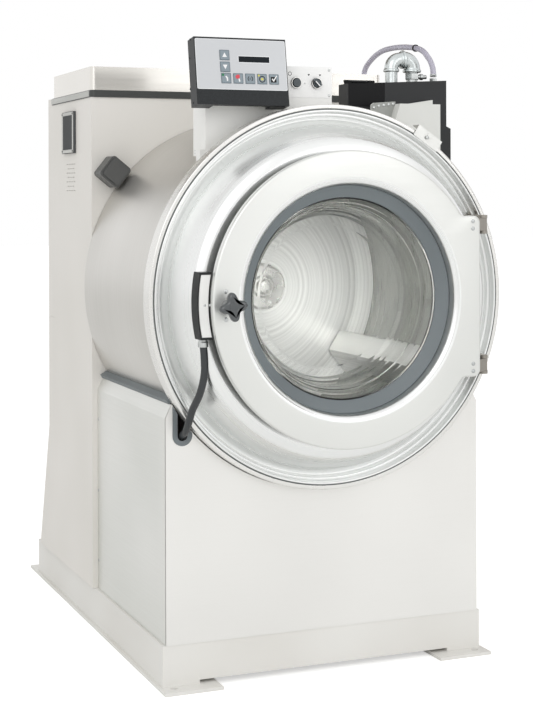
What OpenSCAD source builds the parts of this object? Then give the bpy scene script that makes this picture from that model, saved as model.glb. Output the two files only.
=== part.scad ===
// Open-pocket washer-extractor, rigid mount, for about 27 kg of dry laundry.
// X runs to the right, Y to the back and Z up. The origin is on the floor, under the middle
// of the whole machine. Places are first given from the front face of the base, and the
// placed() module then moves them to the origin.

/* [Base] */
// Width of the base frame
base_w = 856; // [800:1:920]
// Depth of the base frame
base_d = 1220; // [1160:1:1300]
// Height of the base channel
base_h = 89; // [70:1:110]
// Wall of the base channel
channel_t = 8; // [5:1:12]
// Width of the channel's flanges
channel_flange = 60; // [45:1:80]
// Height of the packing strip between the channel and the foot rails
packing_h = 8; // [5:1:12]
// Width of the packing strip
packing_w = 93; // [70:1:120]
// Thickness of the foot rails
rail_t = 8; // [6:1:12]
// How far the foot rails stand out at the sides
rail_side = 9; // [4:1:14]
// How far the foot rails stand out at the front
rail_front = 46; // [36:1:60]
// How far the foot rails stand out at the rear
rail_rear = 70; // [50:1:90]
// Width of the foot rail between its two ends
rail_w = 60; // [40:1:80]
// Width of the wide ends of the foot rails
foot_w = 146; // [120:1:180]
// Length of the wide ends of the foot rails
foot_l = 170; // [130:1:220]
// Radius of the anchor bolt holes
anchor_r = 9.5; // [8:0.5:12]
// Anchor hole centre to the outer edge of the rail
anchor_edge = 31; // [22:1:38]

/* [Shell] */
// Height of the drum axis above the floor
axis_z = 923; // [900:1:960]
// Outer radius of the shell
shell_r = 457; // [450:1:462]
// Wall of the shell
shell_t = 3; // [2:0.5:4]
// Rear face of the shell behind the base's front face
shell_rear = 576; // [560:1:590]
// Thickness of the shell's back plate
back_plate_t = 12; // [8:1:16]
// Thickness of the two cradle plates under the shell
cradle_t = 12; // [8:1:16]
// Width of the cradle plates
cradle_w = 620; // [560:1:660]
// Gap between the cradle plates and the shell
cradle_gap = 0.3; // [0.2:0.1:0.5]

/* [Front head] */
// How far the clamp ring stands out round the shell
ring_out = 14.5; // [12:0.5:19]
// How far the clamp ring stands in front of the base
ring_front = 34; // [28:1:40]
// Thickness of the clamp ring's sheet
ring_t = 3; // [2:0.5:4]
// Width of the clamp ring's front lip, as far as the rubber line
ring_lip_w = 11.5; // [9:0.5:12.5]
// Distance of the valley from the rubber line
rim_w = 21; // [19:1:30]
// Width of the dish from the valley to the crease
dish_w = 50; // [44:1:56]
// Width of the cone from the crease to the crown
cone_w = 44; // [38:1:50]
// Depth of the crease in front of the base
crease_front = 74; // [66:1:82]
// Depth of the crown in front of the base
crown_front = 112; // [106:1:114]
// Width of the crown, as far in as the mouth
crown_w = 63; // [56:1:68]
// Thickness of the head's sheet
head_t = 3; // [2:0.5:4]

/* [Door] */
// How far the door disc laps over the head's crown
door_lap = 11; // [5:1:13]
// Front face of the door in front of the head's crown
door_off = 41; // [39:1:46]
// Depth of the door's turned rim
rim_d = 19; // [14:1:20]
// Thickness of the door's sheet
door_t = 3; // [2:0.5:4]
// Distance of the flange's right edge from the disc's edge
flange_in = 10; // [8:1:14]
// Height of the hinge flange
flange_h = 396; // [380:1:410]
// How much the window opening is smaller in radius than the head's mouth
window_in = 7; // [4:1:12]
// Width of the window gasket that shows in front of the glass
gasket_w = 30; // [27:1:37]
// Thickness of the glass bowl
glass_t = 6; // [5:0.5:8]
// Depth of the glass bowl
bowl_d = 118; // [100:1:130]
// Width of the bowl's rounded side
bowl_side = 65; // [55:1:95]
// Greatest opening angle of the door
door_swing = 150; // [90:1:150]

/* [Hinge] */
// Distance of the hinge axis from the door disc's edge
hinge_out = 28; // [24:1:34]
// Distance of the hinge axis behind the door's front face
hinge_back = 55; // [51:1:61]
// Radius of the hinge pins
pin_r = 6; // [5:0.5:7]
// Radius of the hinge barrels
barrel_r = 11; // [10:0.5:13]
// Height of the hinge barrels
barrel_h = 30; // [24:1:36]
// Distance of the hinges from the flange's ends
hinge_in = 23; // [20:1:33]
// Thickness of the hinge lugs
lug_t = 8; // [6:1:10]

/* [Latch] */
// Distance of the knob's spindle from the door disc's edge
knob_in = 34; // [30:1:40]
// Height of the latch below the drum axis
latch_drop = 5; // [0:1:8]
// Radius over the knob's four lobes
knob_r = 34; // [30:1:38]
// Thickness of the knob
knob_t = 20; // [16:1:24]
// Gap between the knob and the door face
knob_gap = 34; // [28:1:40]
// Radius of the spindle
spindle_r = 8; // [6:0.5:10]
// Length of the latch cam from the spindle
cam_l = 50; // [46:1:54]
// How far the lock housing stands out round the door disc
lock_out = 31; // [28:1:36]
// Half the height of the lock housing
lock_half = 78; // [70:1:86]
// How far the middle of the lock housing lies below the drum's axis
lock_drop = 5.5; // [3:0.5:8]
// Thickness of the lock housing's front plate
lock_plate_t = 3; // [2:0.5:3]

/* [Drum] */
// Space between the drum and the shell's outside
drum_space = 72; // [62:1:82]
// Wall of the drum
drum_t = 3; // [2:0.5:4]
// Distance of the drum's rear face from the shell's rear face
drum_back = 56; // [51:1:76]
// How much the drum's mouth is smaller in radius than the head's mouth
drum_lip_w = 12; // [6:1:20]
// Height of the lifters
lifter_h = 85; // [60:1:95]
// Width of the lifters at the drum wall
lifter_w = 120; // [90:1:140]
// Number of lifters
lifters_n = 3; // [2:1:4]
// Radius of the drum shaft
shaft_r = 35; // [30:1:40]

/* [Drive] */
// Outer radius of the driven pulley
pulley_r = 200; // [180:1:220]
// Outer radius of the motor pulley
motor_pulley_r = 50; // [44:1:60]
// Width of both pulleys
pulley_w = 60; // [54:1:70]
// Depth of the belt grooves
groove_d = 10; // [8:1:12]
// Radius of the bearing housing
housing_r = 88; // [84:1:100]
// Outer radius of the bearings
bearing_r = 72; // [66:1:76]
// Width of each bearing
bearing_w = 36; // [30:1:40]
// Radius of the motor
motor_r = 105; // [90:1:112]
// Length of the motor
motor_l = 220; // [180:1:230]
// Motor axis to the right of the middle
motor_x = 150; // [130:1:170]
// Height of the motor axis above the base
motor_up = 190; // [170:1:210]

/* [Cabinet] */
// How far the cabinet stands out at the sides of the base
cab_out = 8; // [2:1:12]
// Gap between the shell and the cabinet
cab_gap = 2; // [1:1:8]
// Depth of the cabinet's side walls
cab_side_d = 397; // [380:1:410]
// Depth of the rear covers above the flare
cover_d = 76; // [66:1:86]
// Height of the cabinet's walls above the shell
cab_up = 60; // [40:1:80]
// Height of the seam between the rear covers
cover_seam = 811; // [780:1:840]
// Height at which the lower rear cover starts to flare out
flare_z = 482; // [450:1:520]
// How far the lower rear cover flares out
flare_d = 112; // [90:1:130]
// Thickness of the cabinet's sheet
sheet_t = 2; // [1.5:0.5:3]
// Height of the dark trim strip
trim_h = 19; // [14:1:24]
// Height of the cap above the trim
cap_h = 64; // [50:1:80]
// Depth of the cap
cap_d = 410; // [400:1:420]
// Side length of the fan filter
filter_l = 124; // [110:1:136]
// Height of the fan filter
filter_h = 118; // [104:1:130]

/* [Lower panels] */
// Distance of the front panel's edges from the sides of the base
panel_in = 8; // [2:1:14]
// Width of the gap between the side panels' top edges and the shell
strip_w = 16.8; // [12:0.2:22]
// Gap between the lower panels and the clamp ring
panel_gap = 2; // [1:0.5:4]
// Thickness of the lower panels
panel_t = 1.5; // [1:0.5:2]
// Distance of the conduit slot from the front panel's edge
slot_in = 41.5; // [38:0.5:46]
// Width of the conduit slot
slot_w = 36; // [30:1:40]
// Depth of the slot's round end below the panel's round edge
slot_drop = 37; // [28:1:44]
// Width of the grommet's lip outside the slot
lip_w = 6.5; // [5:0.5:8]
// Width of the grommet's lip inside the slot
lip_in = 5.5; // [3:0.5:6.5]

/* [Controls] */
// Width of the control box
box_w = 238; // [225:1:250]
// Height of the control box's face
box_h = 166; // [155:1:175]
// Depth of the control box
box_d = 43; // [36:1:46]
// Backward lean of the control box
box_lean = 9.3; // [6:0.1:10]
// Left edge of the control box from the middle
box_left = 343; // [335:1:350]
// Gap between the control box and the clamp ring
box_gap = 6.34; // [3:0.02:12]
// Side length of the keys
key_s = 25; // [22:0.5:27]
// Pitch of the keys
key_pitch = 31; // [29:0.5:33]
// Travel of the keys
key_travel = 0.5; // [0.3:0.1:0.5]
// Left edge of the control column from the middle
col_left = 299; // [290:1:305]
// Right edge of the control column from the middle
col_right = 38; // [30:1:60]
// Front face of the control column behind the base's front face
col_front = 50; // [46:1:60]
// Depth of the control column
col_d = 88; // [76:1:100]
// Height of the control column's top above the control box's lower edge
col_up = 103; // [92:1:112]
// Height of the switch plate
plate_h = 77; // [70:1:84]
// Radius of the push button
button_r = 12; // [10:0.5:14]
// Travel of the push button
button_travel = 4; // [3:0.5:5]
// Half the turn of the selector switch
selector_half = 45; // [30:1:60]

/* [Supply injector] */
// How far the injector box stands out beyond the cabinet's side
inj_out = 6; // [0:1:12]
// Width of the injector box
inj_w = 294; // [280:1:300]
// Front face of the injector box behind the base's front face
inj_front = 190; // [180:1:200]
// Depth of the injector box
inj_d = 54; // [50:1:64]
// Height of the injector box's left top corner above the shell
inj_up = 84; // [70:1:96]
// Fall of the injector box's top from right to left
inj_fall = 15; // [5:1:20]
// Wall of the injector box
inj_t = 4; // [3:0.5:5]
// Radius of the galvanised pipes
pipe_r = 16.5; // [15:0.5:18]
// Radius of the clear hose
hose_r = 7.7; // [7:0.1:8.5]

/* [Drain and water] */
// Radius of the drain pipe
drain_r = 38; // [32:1:42]
// Drain pipe to the left of the middle
drain_x = 120; // [110:1:140]
// Height of the drain pipe above the base
drain_up = 90; // [80:1:100]
// How far the drain outlet stands behind the flared cover
drain_out = 62; // [45:1:80]
// Radius of the water inlets
inlet_r = 13.2; // [12:0.1:14]
// How far the water inlets stand behind the cabinet
inlet_out = 40; // [30:1:50]
// Distance of the water inlets below the cabinet's top edge
inlet_drop = 110; // [60:1:160]

/* [Hidden] */
$fn = 96;
gap = 0.3;
run = 0.05;
eps = 0.01;
big = 2000;

base_z = rail_t + packing_h;
base_top = base_z + base_h;
rail_x = base_w / 2 + rail_side;
rail_y0 = -rail_front;
rail_y1 = base_d + rail_rear;
anchor_x = rail_x - anchor_edge;
anchor_y0 = rail_y0 + anchor_edge;
anchor_y1 = rail_y1 - anchor_edge;
ring_r = shell_r + ring_out;
seal_r = ring_r - ring_lip_w;
valley_r = seal_r - rim_w;
crease_r = valley_r - dish_w;
crown_r = crease_r - cone_w;
mouth_r = crown_r - crown_w;
door_r = crown_r + door_lap;
door_front = crown_front + door_off;
window_r = mouth_r - window_in;
glass_r = window_r - gasket_w;
bowl_r = glass_r - bowl_side;
flange_x = door_r - flange_in;
hinge_x = door_r + hinge_out;
hinge_front = door_front - hinge_back;
hinge_z = flange_h / 2 - hinge_in;
knob_x = door_r - knob_in;
lock_r = door_r + lock_out;
drum_r = shell_r - drum_space;
drum_rear = shell_rear - drum_back;
drum_mouth_r = mouth_r - drum_lip_w;
shell_top = axis_z + shell_r;
knob_front = door_front + knob_gap + knob_t;
mid_y = (rail_y1 - knob_front) / 2;
cab_x = base_w / 2 + cab_out;
cab_front = shell_rear + cab_gap;
cab_top = shell_top + cab_up;
cab_side_y1 = cab_front + cab_side_d;
cover_y1 = cab_side_y1 + cover_d;
cap_z0 = cab_top + trim_h;
cap_z1 = cap_z0 + cap_h;
cut_r = ring_r + panel_gap;
facet_dx = 16;
facet_dz = 33;
panel_x = base_w / 2 - panel_in;
side_x = panel_x + 1;
strip_r = shell_r + strip_w;
bend_z = axis_z - facet_dz - sqrt(strip_r * strip_r - (side_x - facet_dx) * (side_x - facet_dx));
slot_x = panel_x - slot_in;
slot_z = axis_z - sqrt(cut_r * cut_r - slot_x * slot_x) - slot_drop;
cradle_y = [110, shell_rear - 146];
bar_w = 50;
foot_in = 40;
motor_y0 = cab_front + 22;
motor_y1 = motor_y0 + motor_l;
motor_z = base_top + motor_up;
motor_shaft_r = 19;
belt_y0 = motor_y1 + 10;
housing_rear = belt_y0 - 40;
groove_w = 13;
grooves_n = 3;
drain_y = shell_rear - 71;
drain_z = base_top + drain_up;
inj_left = cab_x + inj_out - inj_w;
inj_top = shell_top + inj_up;
inj_step = 13;
inj_step_z = inj_top - 108;
inj_low = inj_top - 328;
chute_in = 77;
chute_w = 160;
chute_slant = 41.5;
flap_in = 65;
plate_w = 71;
chute_x = inj_left + 165;
chute_l = 70;
chute_y = inj_front - 22;
chute_r = 30;
chute_top = shell_top + 30;
chute_low = shell_top - 250;
col_wall = 2;
box_in = max(0, box_left - box_w);
box_z = axis_z + sqrt(ring_r * ring_r - box_in * box_in) + box_gap;
col_top = box_z + col_up;
plate_z = col_top - plate_h;
switch_z = col_top - 41;
button_at = [-60, switch_z];
selector_at = [-4, switch_z];
bezel_r = 13.5;
cap_r = button_r - 2;
box_y = -15;
overlay_z = 38;
overlay_w = box_w - 6;
overlay_h = box_h - overlay_z - 5;
overlay_t = 1;
key_col_x = box_w - 162;
key_row_z = 65;
key_up_z = 122;
key_down_z = 93;
window_w = 80;
window_h = 14.5;
window_at = [box_w - 126, 113 - window_h / 2];
lock_a = 180 + asin(latch_drop / knob_x);
lock_in_r = door_r + 4;
lock_edge = 4;
lock_frame = 6;
lock_mid = (lock_in_r + lock_r) / 2;
lock_low = lock_half + lock_drop;
riser_y = inj_front + inj_d / 2;
hose_x = cab_x - 19;
hose_y = cab_front + 62;
hose_z = inj_top + (hose_x - inj_left) * inj_fall / inj_w;
hose_pts = [[hose_x, hose_y, cap_z1 + gap], [hose_x, hose_y, cap_z1 + 5], [hose_x, hose_y, cap_z1 + 13],
    [hose_x, hose_y - 20, cap_z1 + 32], [hose_x, hose_y - 75, cap_z1 + 55],
    [hose_x, hose_y - 140, cap_z1 + 66],
    [hose_x, riser_y + 179, cap_z1 + 64], [hose_x, riser_y + 76, hose_z + 94],
    [hose_x, riser_y + 28, hose_z + 67], [hose_x, riser_y + 6, hose_z + 43],
    [hose_x, riser_y, hose_z + 24], [hose_x, riser_y, hose_z + 12.3]];
conduit_r = 9;
conduit_end_x = cradle_w / 2 - 20;
conduit_end_y = cradle_y[0] - cradle_t / 2 - 2 * gap;
conduit_pts = [[9 - lock_mid, -110, axis_z - lock_low - gap - 10],
    [12 - lock_mid, -109, axis_z - lock_low - 40],
    [15 - lock_mid, -101, axis_z - lock_low - 82], [10 - lock_mid, -86, axis_z - lock_low - 128],
    [6 - slot_x, -60, slot_z + 70], [-slot_x, -50, slot_z + 40], [-slot_x - 1, -28, slot_z + 13],
    [-slot_x, 0, slot_z], [6 - slot_x, 34, slot_z - 17], [36 - slot_x, 60, slot_z - 40],
    [-conduit_end_x - 16, conduit_end_y - 29, slot_z - 54],
    [-conduit_end_x, conduit_end_y - 15, slot_z - 60], [-conduit_end_x, conduit_end_y - 7, slot_z - 60],
    [-conduit_end_x, conduit_end_y, slot_z - 60]];
lifter_a0 = -33;
inlet_xs = [250, 330];
inlet_z = cab_top - inlet_drop;
gland_x = -320;
gland_r = 12;
riser_xs = [inj_left + 142, inj_left + 204];
lid_w = 106;
lid_h = 59;
lid_back = 48;
lid_gap = 0.6;
lid_x = inj_left + 3;
lid_pin_y = inj_front + lid_back - 2;
lid_pin_z = inj_top + 10;
lid_pin_r = 1.8;
lid_barrel_r = 3.5;
lid_barrel_l = 20;
lid_barrel_in = 8;
key_xs = [for (i = [0:4]) key_col_x + 1 + i * key_pitch];
bearing_ys = [shell_rear + 24, housing_rear - bearing_w - 9];
drum_front = crown_front - 64;
hub_y = drum_rear - 100;
flange_w = 146;

// Moves a place given from the base's front face to the origin of the machine
module placed() {
    translate([0, -mid_y, 0]) children();
}

// Turns +Z into the drum axis, pointing to the front of the machine
module on_axis() {
    translate([0, 0, axis_z]) rotate([90, 0, 0]) children();
}

// Turns +Z to the front of the machine at a place on it
module facing(x, y, z) {
    translate([x, y, z]) rotate([90, 0, 0]) children();
}

// Points of an arc about a centre, from one angle to another
function arc(c, r, a0, a1, n) =
    [for (i = [0:n]) c + r * [cos(a0 + (a1 - a0) * i / n), sin(a0 + (a1 - a0) * i / n)]];

// A rectangle with round corners, from its lower left corner
module round_rect(w, h, r) {
    translate([r, 0]) square([w - 2 * r, h]);
    translate([0, r]) square([w, h - 2 * r]);
    for (x = [r, w - r], y = [r, h - r]) translate([x, y]) circle(r = r, $fn = 32);
}

// A ring with a rectangular section round +Z
module band(r0, r1, z0, z1) {
    translate([0, 0, z0]) difference() {
        cylinder(r = r1, h = z1 - z0);
        translate([0, 0, -1]) cylinder(r = r0, h = z1 - z0 + 2);
    }
}

// Outline of a sheet of thickness t that follows the profile p, on its left side
function side_step(p, i, t) =
    let (d = p[min(i + 1, len(p) - 1)] - p[max(i - 1, 0)]) t * [-d[1], d[0]] / norm(d);

// A sector of a ring round +Z, from angle a0 over the angle da
module sector(r0, r1, z0, z1, a0, da) {
    translate([0, 0, z0]) rotate([0, 0, a0])
        rotate_extrude(angle = da) translate([r0, 0]) square([r1 - r0, z1 - z0]);
}

// Base frame: channel frame, packing strips, foot rails, cross bars and shell cradle
module base_frame() {
    color("gainsboro") placed() difference() {
        union() {
            translate([-base_w / 2, 0, base_z]) difference() {
                cube([base_w, base_d, base_h]);
                translate([channel_flange, channel_flange, -1])
                    cube([base_w - 2 * channel_flange, base_d - 2 * channel_flange, base_h + 2]);
                translate([channel_t, channel_t, channel_t])
                    cube([base_w - 2 * channel_t, base_d - 2 * channel_t, base_h - 2 * channel_t]);
            }
            for (s = [-1, 1]) foot_rail(s);
            for (y = concat(cradle_y, [motor_y0 + foot_in, motor_y1 - foot_in])) cross_bar(y);
            for (y = cradle_y) cradle_plate(y);
        }
        for (x = [-anchor_x, anchor_x], y = [anchor_y0, anchor_y1])
            translate([x, y, -1]) cylinder(r = anchor_r, h = rail_t + 2);
    }
}

// Foot rail with two wide ends and the packing strip on it
module foot_rail(s) {
    mirror([s < 0 ? 1 : 0, 0, 0]) {
        translate([rail_x - rail_w, rail_y0, 0]) cube([rail_w, rail_y1 - rail_y0, rail_t]);
        for (y = [rail_y0, rail_y1 - foot_l])
            translate([rail_x - foot_w, y, 0]) cube([foot_w, foot_l, rail_t]);
        translate([base_w / 2 - packing_w, 0, rail_t]) cube([packing_w, base_d, packing_h]);
    }
}

// Square bar across the base frame, between its side channels
module cross_bar(y) {
    bar_x = base_w / 2 - channel_t;
    translate([-bar_x, y - bar_w / 2, base_z + channel_t])
        cube([2 * bar_x, bar_w, base_h - channel_t]);
}

// Plate with a round seat that carries the shell
module cradle_plate(y) {
    difference() {
        translate([-cradle_w / 2, y - cradle_t / 2, base_top - eps])
            cube([cradle_w, cradle_t, axis_z - base_top - shell_r / 2]);
        translate([0, y + cradle_t, 0]) on_axis()
            cylinder(r = shell_r + cradle_gap, h = 2 * cradle_t);
    }
}

// Outer shell: stainless cylinder with front flange and thick back plate
module outer_shell() {
    flange_t = 4;
    color("silver") placed() difference() {
        on_axis() {
            band(shell_r - shell_t, shell_r, -shell_rear, flange_t);
            band(shell_r - shell_t, ring_r - ring_t - gap, 0, flange_t);
            band(bearing_r + gap, shell_r, -shell_rear, back_plate_t - shell_rear);
        }
        translate([-drain_x, drain_y, axis_z - shell_r - 1]) cylinder(r = drain_r - 4, h = 60);
        translate([chute_x, chute_y, axis_z + shell_r / 2]) cylinder(r = chute_r, h = 200);
    }
}

// Front face of the polished head, from the rim to the mouth
rim_pts = [[seal_r - 2, 5], [seal_r - 2, ring_front - 1], [seal_r - 4.5, ring_front + 2],
    [seal_r - 7, ring_front - 1], [seal_r - 9, 14], [seal_r - 10.5, 17], [seal_r - 14, 18.5],
    [seal_r - 18, 14]];
bowl_pts = [[valley_r, 1], [(valley_r + crease_r) / 2, crease_front / 2 + 4],
    [crease_r, crease_front], [crown_r + 7, crown_front - 4], [crown_r, crown_front],
    [crown_r - 6, crown_front - 1], [mouth_r + 8, crown_front - 12],
    [mouth_r + 2, crown_front - 15], [mouth_r, crown_front - 20], [mouth_r, crown_front - 50]];

// Front head: dished, polished sheet with a beaded rim and a turned-in mouth
module front_head() {
    back = [for (i = [len(bowl_pts) - 1:-1:0])
        bowl_pts[i] + side_step(bowl_pts, i, head_t)];
    color("lightgray") placed() on_axis() rotate_extrude()
        polygon(concat(rim_pts, bowl_pts, back, [[seal_r - 14, 5]]));
}

// Space that the head and all that lies behind its face take up
module head_space() {
    on_axis() rotate_extrude()
        polygon(concat([[0, -big / 10], [valley_r + 41, -big / 10],
            [valley_r + 41, ring_front + 3], [valley_r + 1, ring_front + 3]],
            [for (p = bowl_pts) if (p[0] >= crown_r) p + [0, 2 * gap]],
            [[0, crown_front + 2 * gap]]));
}

// Clamp ring: rolled band that holds the head on the shell's flange
module clamp_ring() {
    back = -10;
    color("silver") placed() on_axis() {
        band(ring_r - ring_t, ring_r, back, ring_front);
        band(seal_r + 1, ring_r - eps, ring_front - ring_t, ring_front);
        band(shell_r + gap, ring_r - eps, back, back + ring_t);
        for (z = [2, 12, 22]) band(ring_r - eps, ring_r + 0.7, z, z + 3);
    }
}

// Black seal between the clamp ring and the head's rim
module ring_seal() {
    color([0.15, 0.15, 0.16]) placed() on_axis()
        band(seal_r - 1.7, seal_r + 0.7, 5, ring_front - 1.2);
}

// Bracket that joins the ends of the clamp ring, with its bolt
module ring_bracket() {
    turn = 56.1;
    half_l = 38.5;
    plate_t = 2;
    reach = 14.5;
    inner = ring_r - 15.5;
    bolt_x = ring_r + 5.5;
    color("gainsboro") placed() on_axis() rotate([0, 0, turn]) {
        difference() {
            translate([inner, -half_l, ring_front + 2 + gap]) cube([reach + 15.5, 2 * half_l, plate_t]);
            translate([bolt_x, 0, 0]) cylinder(r = 4.2, h = big);
        }
        translate([ring_r + reach - plate_t, -half_l, 4])
            cube([plate_t, 2 * half_l, ring_front - 2 + gap + eps]);
        translate([ring_r + 1, -half_l / 2, 8]) cube([reach - 3 + eps, half_l, 18]);
        translate([bolt_x, 0, 20]) cylinder(r = 4, h = ring_front - 15);
        translate([bolt_x, 0, ring_front + 4 + gap]) cylinder(r = 7, h = 4, $fn = 6);
    }
}

// Flat outline of the front panel, seen from the front
module front_outline(inset) {
    w = panel_x - inset;
    top = bend_z + 35;
    polygon([[-w, base_top + gap + inset], [w, base_top + gap + inset], [w, bend_z], [w - 17, top],
        [17 - w, top], [-w, bend_z]]);
}

// Lower front panel: stainless sheet with turned edges, a round top and a slot for the conduit
module front_panel() {
    fold = 18;
    fold_in = panel_t + 0.7;
    color("whitesmoke") placed() difference() {
        facing(0, panel_t - 2, 0) {
            linear_extrude(panel_t) front_outline(0);
            translate([0, 0, -fold]) linear_extrude(fold + eps) difference() {
                front_outline(fold_in);
                front_outline(fold_in + panel_t);
            }
        }
        translate([0, big / 2, 0]) on_axis() cylinder(r = cut_r, h = big);
        facing(-slot_x, big / 2, slot_z) linear_extrude(big) slot_outline(slot_w / 2);
    }
}

// Slot with a round lower end, from its centre up to the panel's round edge
module slot_outline(r) {
    circle(r = r);
    translate([-r, 0]) square([2 * r, 100]);
}

// Rubber lip round the conduit slot
module conduit_grommet() {
    lip_t = 5;
    color([0.3, 0.32, 0.34]) placed() difference() {
        facing(-slot_x, 1, slot_z) linear_extrude(lip_t) slot_outline(slot_w / 2 + lip_w);
        facing(-slot_x, big / 2, slot_z) linear_extrude(big) slot_outline(slot_w / 2 - lip_in);
        facing(0, panel_t - 2 + gap / 2, 0) difference() {
            linear_extrude(panel_t + gap) square(big, center = true);
            linear_extrude(panel_t + gap) translate([-slot_x, slot_z]) slot_outline(slot_w / 2 - gap / 2);
        }
        translate([0, big / 2, 0]) on_axis() cylinder(r = cut_r + 1, h = big);
        translate([-panel_x - big, -big / 2, 0]) cube([big, big, big]);
    }
}

// Lower side panel with its top edge bent in towards the shell
module side_panel(s) {
    x = side_x;
    y0 = panel_t + gap;
    l = cab_front - gap - y0;
    mirror([s > 0 ? 1 : 0, 0, 0]) translate([0, y0, 0]) rotate([90, 0, 0]) mirror([0, 0, 1])
        linear_extrude(l) polygon([[-x, base_top + gap], [-x, bend_z], [facet_dx - x, bend_z + facet_dz],
            [facet_dx - x + panel_t, bend_z + facet_dz - 1], [panel_t - x, bend_z - 0.5],
            [panel_t - x, base_top + gap]]);
}

module side_panel_left() {
    color("gainsboro") placed() side_panel(-1);
}

module side_panel_right() {
    color("gainsboro") placed() side_panel(1);
}

// Rubber strips between the side panels' top edges and the shell
module side_gaskets() {
    x = side_x - facet_dx;
    z = bend_z + facet_dz - axis_z;
    outer = strip_r + 3;
    a = atan2(-z, x);
    thick = 11 * 180 / (PI * outer);
    color([0.3, 0.32, 0.34]) placed() on_axis() for (a0 = [180 + a - thick - 0.05, -a + 0.05])
        sector(shell_r + gap, outer, gap - cab_front, -12, a0, thick);
}

// Ring of points round the point c of a tube with the direction t
function tube_ring(c, t, r, n) =
    let (x = [1, 0, 0], a = x - (x * t) * t, u = a / norm(a), v = cross(t, u))
    [for (k = [0:n - 1]) c + r * (cos(360 * k / n) * u + sin(360 * k / n) * v)];

// Point on a smooth curve through p, at the step s after the point i
function on_curve(p, i, s) =
    let (a = p[max(i - 1, 0)], b = p[i], c = p[i + 1], d = p[min(i + 2, len(p) - 1)])
    0.5 * (2 * b + (c - a) * s + (2 * a - 5 * b + 4 * c - d) * s * s
    + (3 * b - a - 3 * c + d) * s * s * s);

// A round tube along a smooth curve through the points p
module tube(p, r, n, steps) {
    c = concat([for (i = [0:len(p) - 2], k = [0:steps - 1]) on_curve(p, i, k / steps)],
        [p[len(p) - 1]]);
    m = len(c);
    d = [for (i = [0:m - 1]) c[min(i + 1, m - 1)] - c[max(i - 1, 0)]];
    points = [for (i = [0:m - 1]) each tube_ring(c[i], d[i] / norm(d[i]), r, n)];
    walls = [for (i = [0:m - 2], k = [0:n - 1]) each [
        [i * n + k, (i + 1) * n + k, (i + 1) * n + (k + 1) % n],
        [i * n + k, (i + 1) * n + (k + 1) % n, i * n + (k + 1) % n]]];
    polyhedron(points, concat(walls, [[for (k = [0:n - 1]) k]],
        [[for (k = [n - 1:-1:0]) (m - 1) * n + k]]));
}

// Cabinet behind the shell, with a hole for the bearing housing and vents on its left side
module cabinet() {
    z0 = base_top + gap;
    fan_y = cab_front + 222;
    fan_z = cab_top - 89;
    color("gainsboro") placed() difference() {
        translate([-cab_x, cab_front, z0]) cube([2 * cab_x, cab_side_d, cab_top - z0]);
        translate([sheet_t - cab_x, cab_front + sheet_t, z0 - 1])
            cube([2 * (cab_x - sheet_t), cab_side_d, cab_top - z0 + 1 - sheet_t]);
        facing(0, cab_front + 10, axis_z) cylinder(r = housing_r + 70, h = 20);
        facing(-drain_x, cab_front + 10, drain_z) cylinder(r = drain_r + 5, h = 20);
        translate([-cab_x - 1, fan_y, fan_z]) rotate([0, 90, 0]) cylinder(r = 50, h = 10);
        for (k = [0:6])
            louvres(k);
    }
}

// One row of vent slots through the cabinet's left side
module louvres(k) {
    even = k % 2 == 0;
    pitch = 26;
    for (j = [0:even ? 3 : 2])
        translate([-cab_x - 1, cab_front + (even ? 171 : 184) + j * pitch, cab_top - 255 + k * 12.5])
            cube([sheet_t + 2, 11, 2.4]);
}

// Upper rear cover
module upper_rear_cover() {
    y0 = cab_side_y1 + gap;
    z0 = cover_seam + gap;
    trim_y = cab_side_y1 + 29;
    color("gainsboro") placed() difference() {
        rotate([90, 0, 90]) translate([0, 0, -cab_x]) linear_extrude(2 * cab_x)
            polygon([[y0, z0], [cover_y1, z0], [cover_y1, cap_z0], [trim_y + gap, cap_z0],
                [trim_y + gap, cab_top - gap], [y0, cab_top - gap]]);
        rotate([90, 0, 90]) translate([0, 0, sheet_t - cab_x]) linear_extrude(2 * (cab_x - sheet_t))
            polygon([[y0 - 1, z0 + sheet_t], [cover_y1 - sheet_t, z0 + sheet_t],
                [cover_y1 - sheet_t, cab_top - gap - sheet_t], [y0 - 1, cab_top - gap - sheet_t]]);
        for (x = inlet_xs)
            facing(x, cover_y1 + 1, inlet_z) cylinder(r = inlet_r + gap, h = 10);
        facing(gland_x, cover_y1 + 1, inlet_z) cylinder(r = gland_r + gap, h = 10);
    }
}

// Lower rear cover with its flared skirt and a hole for the drain
module lower_rear_cover() {
    y0 = cab_side_y1 + gap;
    z0 = base_top + gap;
    z1 = cover_seam - gap;
    color("gainsboro") placed() difference() {
        rotate([90, 0, 90]) translate([0, 0, -cab_x]) linear_extrude(2 * cab_x)
            polygon([[y0, z0], [cover_y1 + flare_d, z0], [cover_y1, flare_z], [cover_y1, z1], [y0, z1]]);
        rotate([90, 0, 90]) translate([0, 0, sheet_t - cab_x]) linear_extrude(2 * (cab_x - sheet_t))
            polygon([[y0 - 1, z0 - 1], [cover_y1 + flare_d - sheet_t, z0 - 1],
                [cover_y1 - sheet_t, flare_z], [cover_y1 - sheet_t, z1 - sheet_t],
                [y0 - 1, z1 - sheet_t]]);
        facing(-drain_x, big, drain_z) cylinder(r = drain_r + 1, h = big - cab_side_y1);
    }
}

// Cap on top of the cabinet
module cabinet_cap() {
    x = cab_x + 2;
    y0 = cab_front - 3;
    color("gainsboro") placed() difference() {
        translate([-x, y0, cap_z0 + gap]) linear_extrude(cap_h - gap) round_rect(2 * x, cap_d, 12);
        translate([sheet_t - x, y0 + sheet_t, cap_z0 - 1])
            linear_extrude(cap_h + 1 - sheet_t)
            round_rect(2 * (x - sheet_t), cap_d - 2 * sheet_t, 12 - sheet_t);
    }
}

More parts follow.
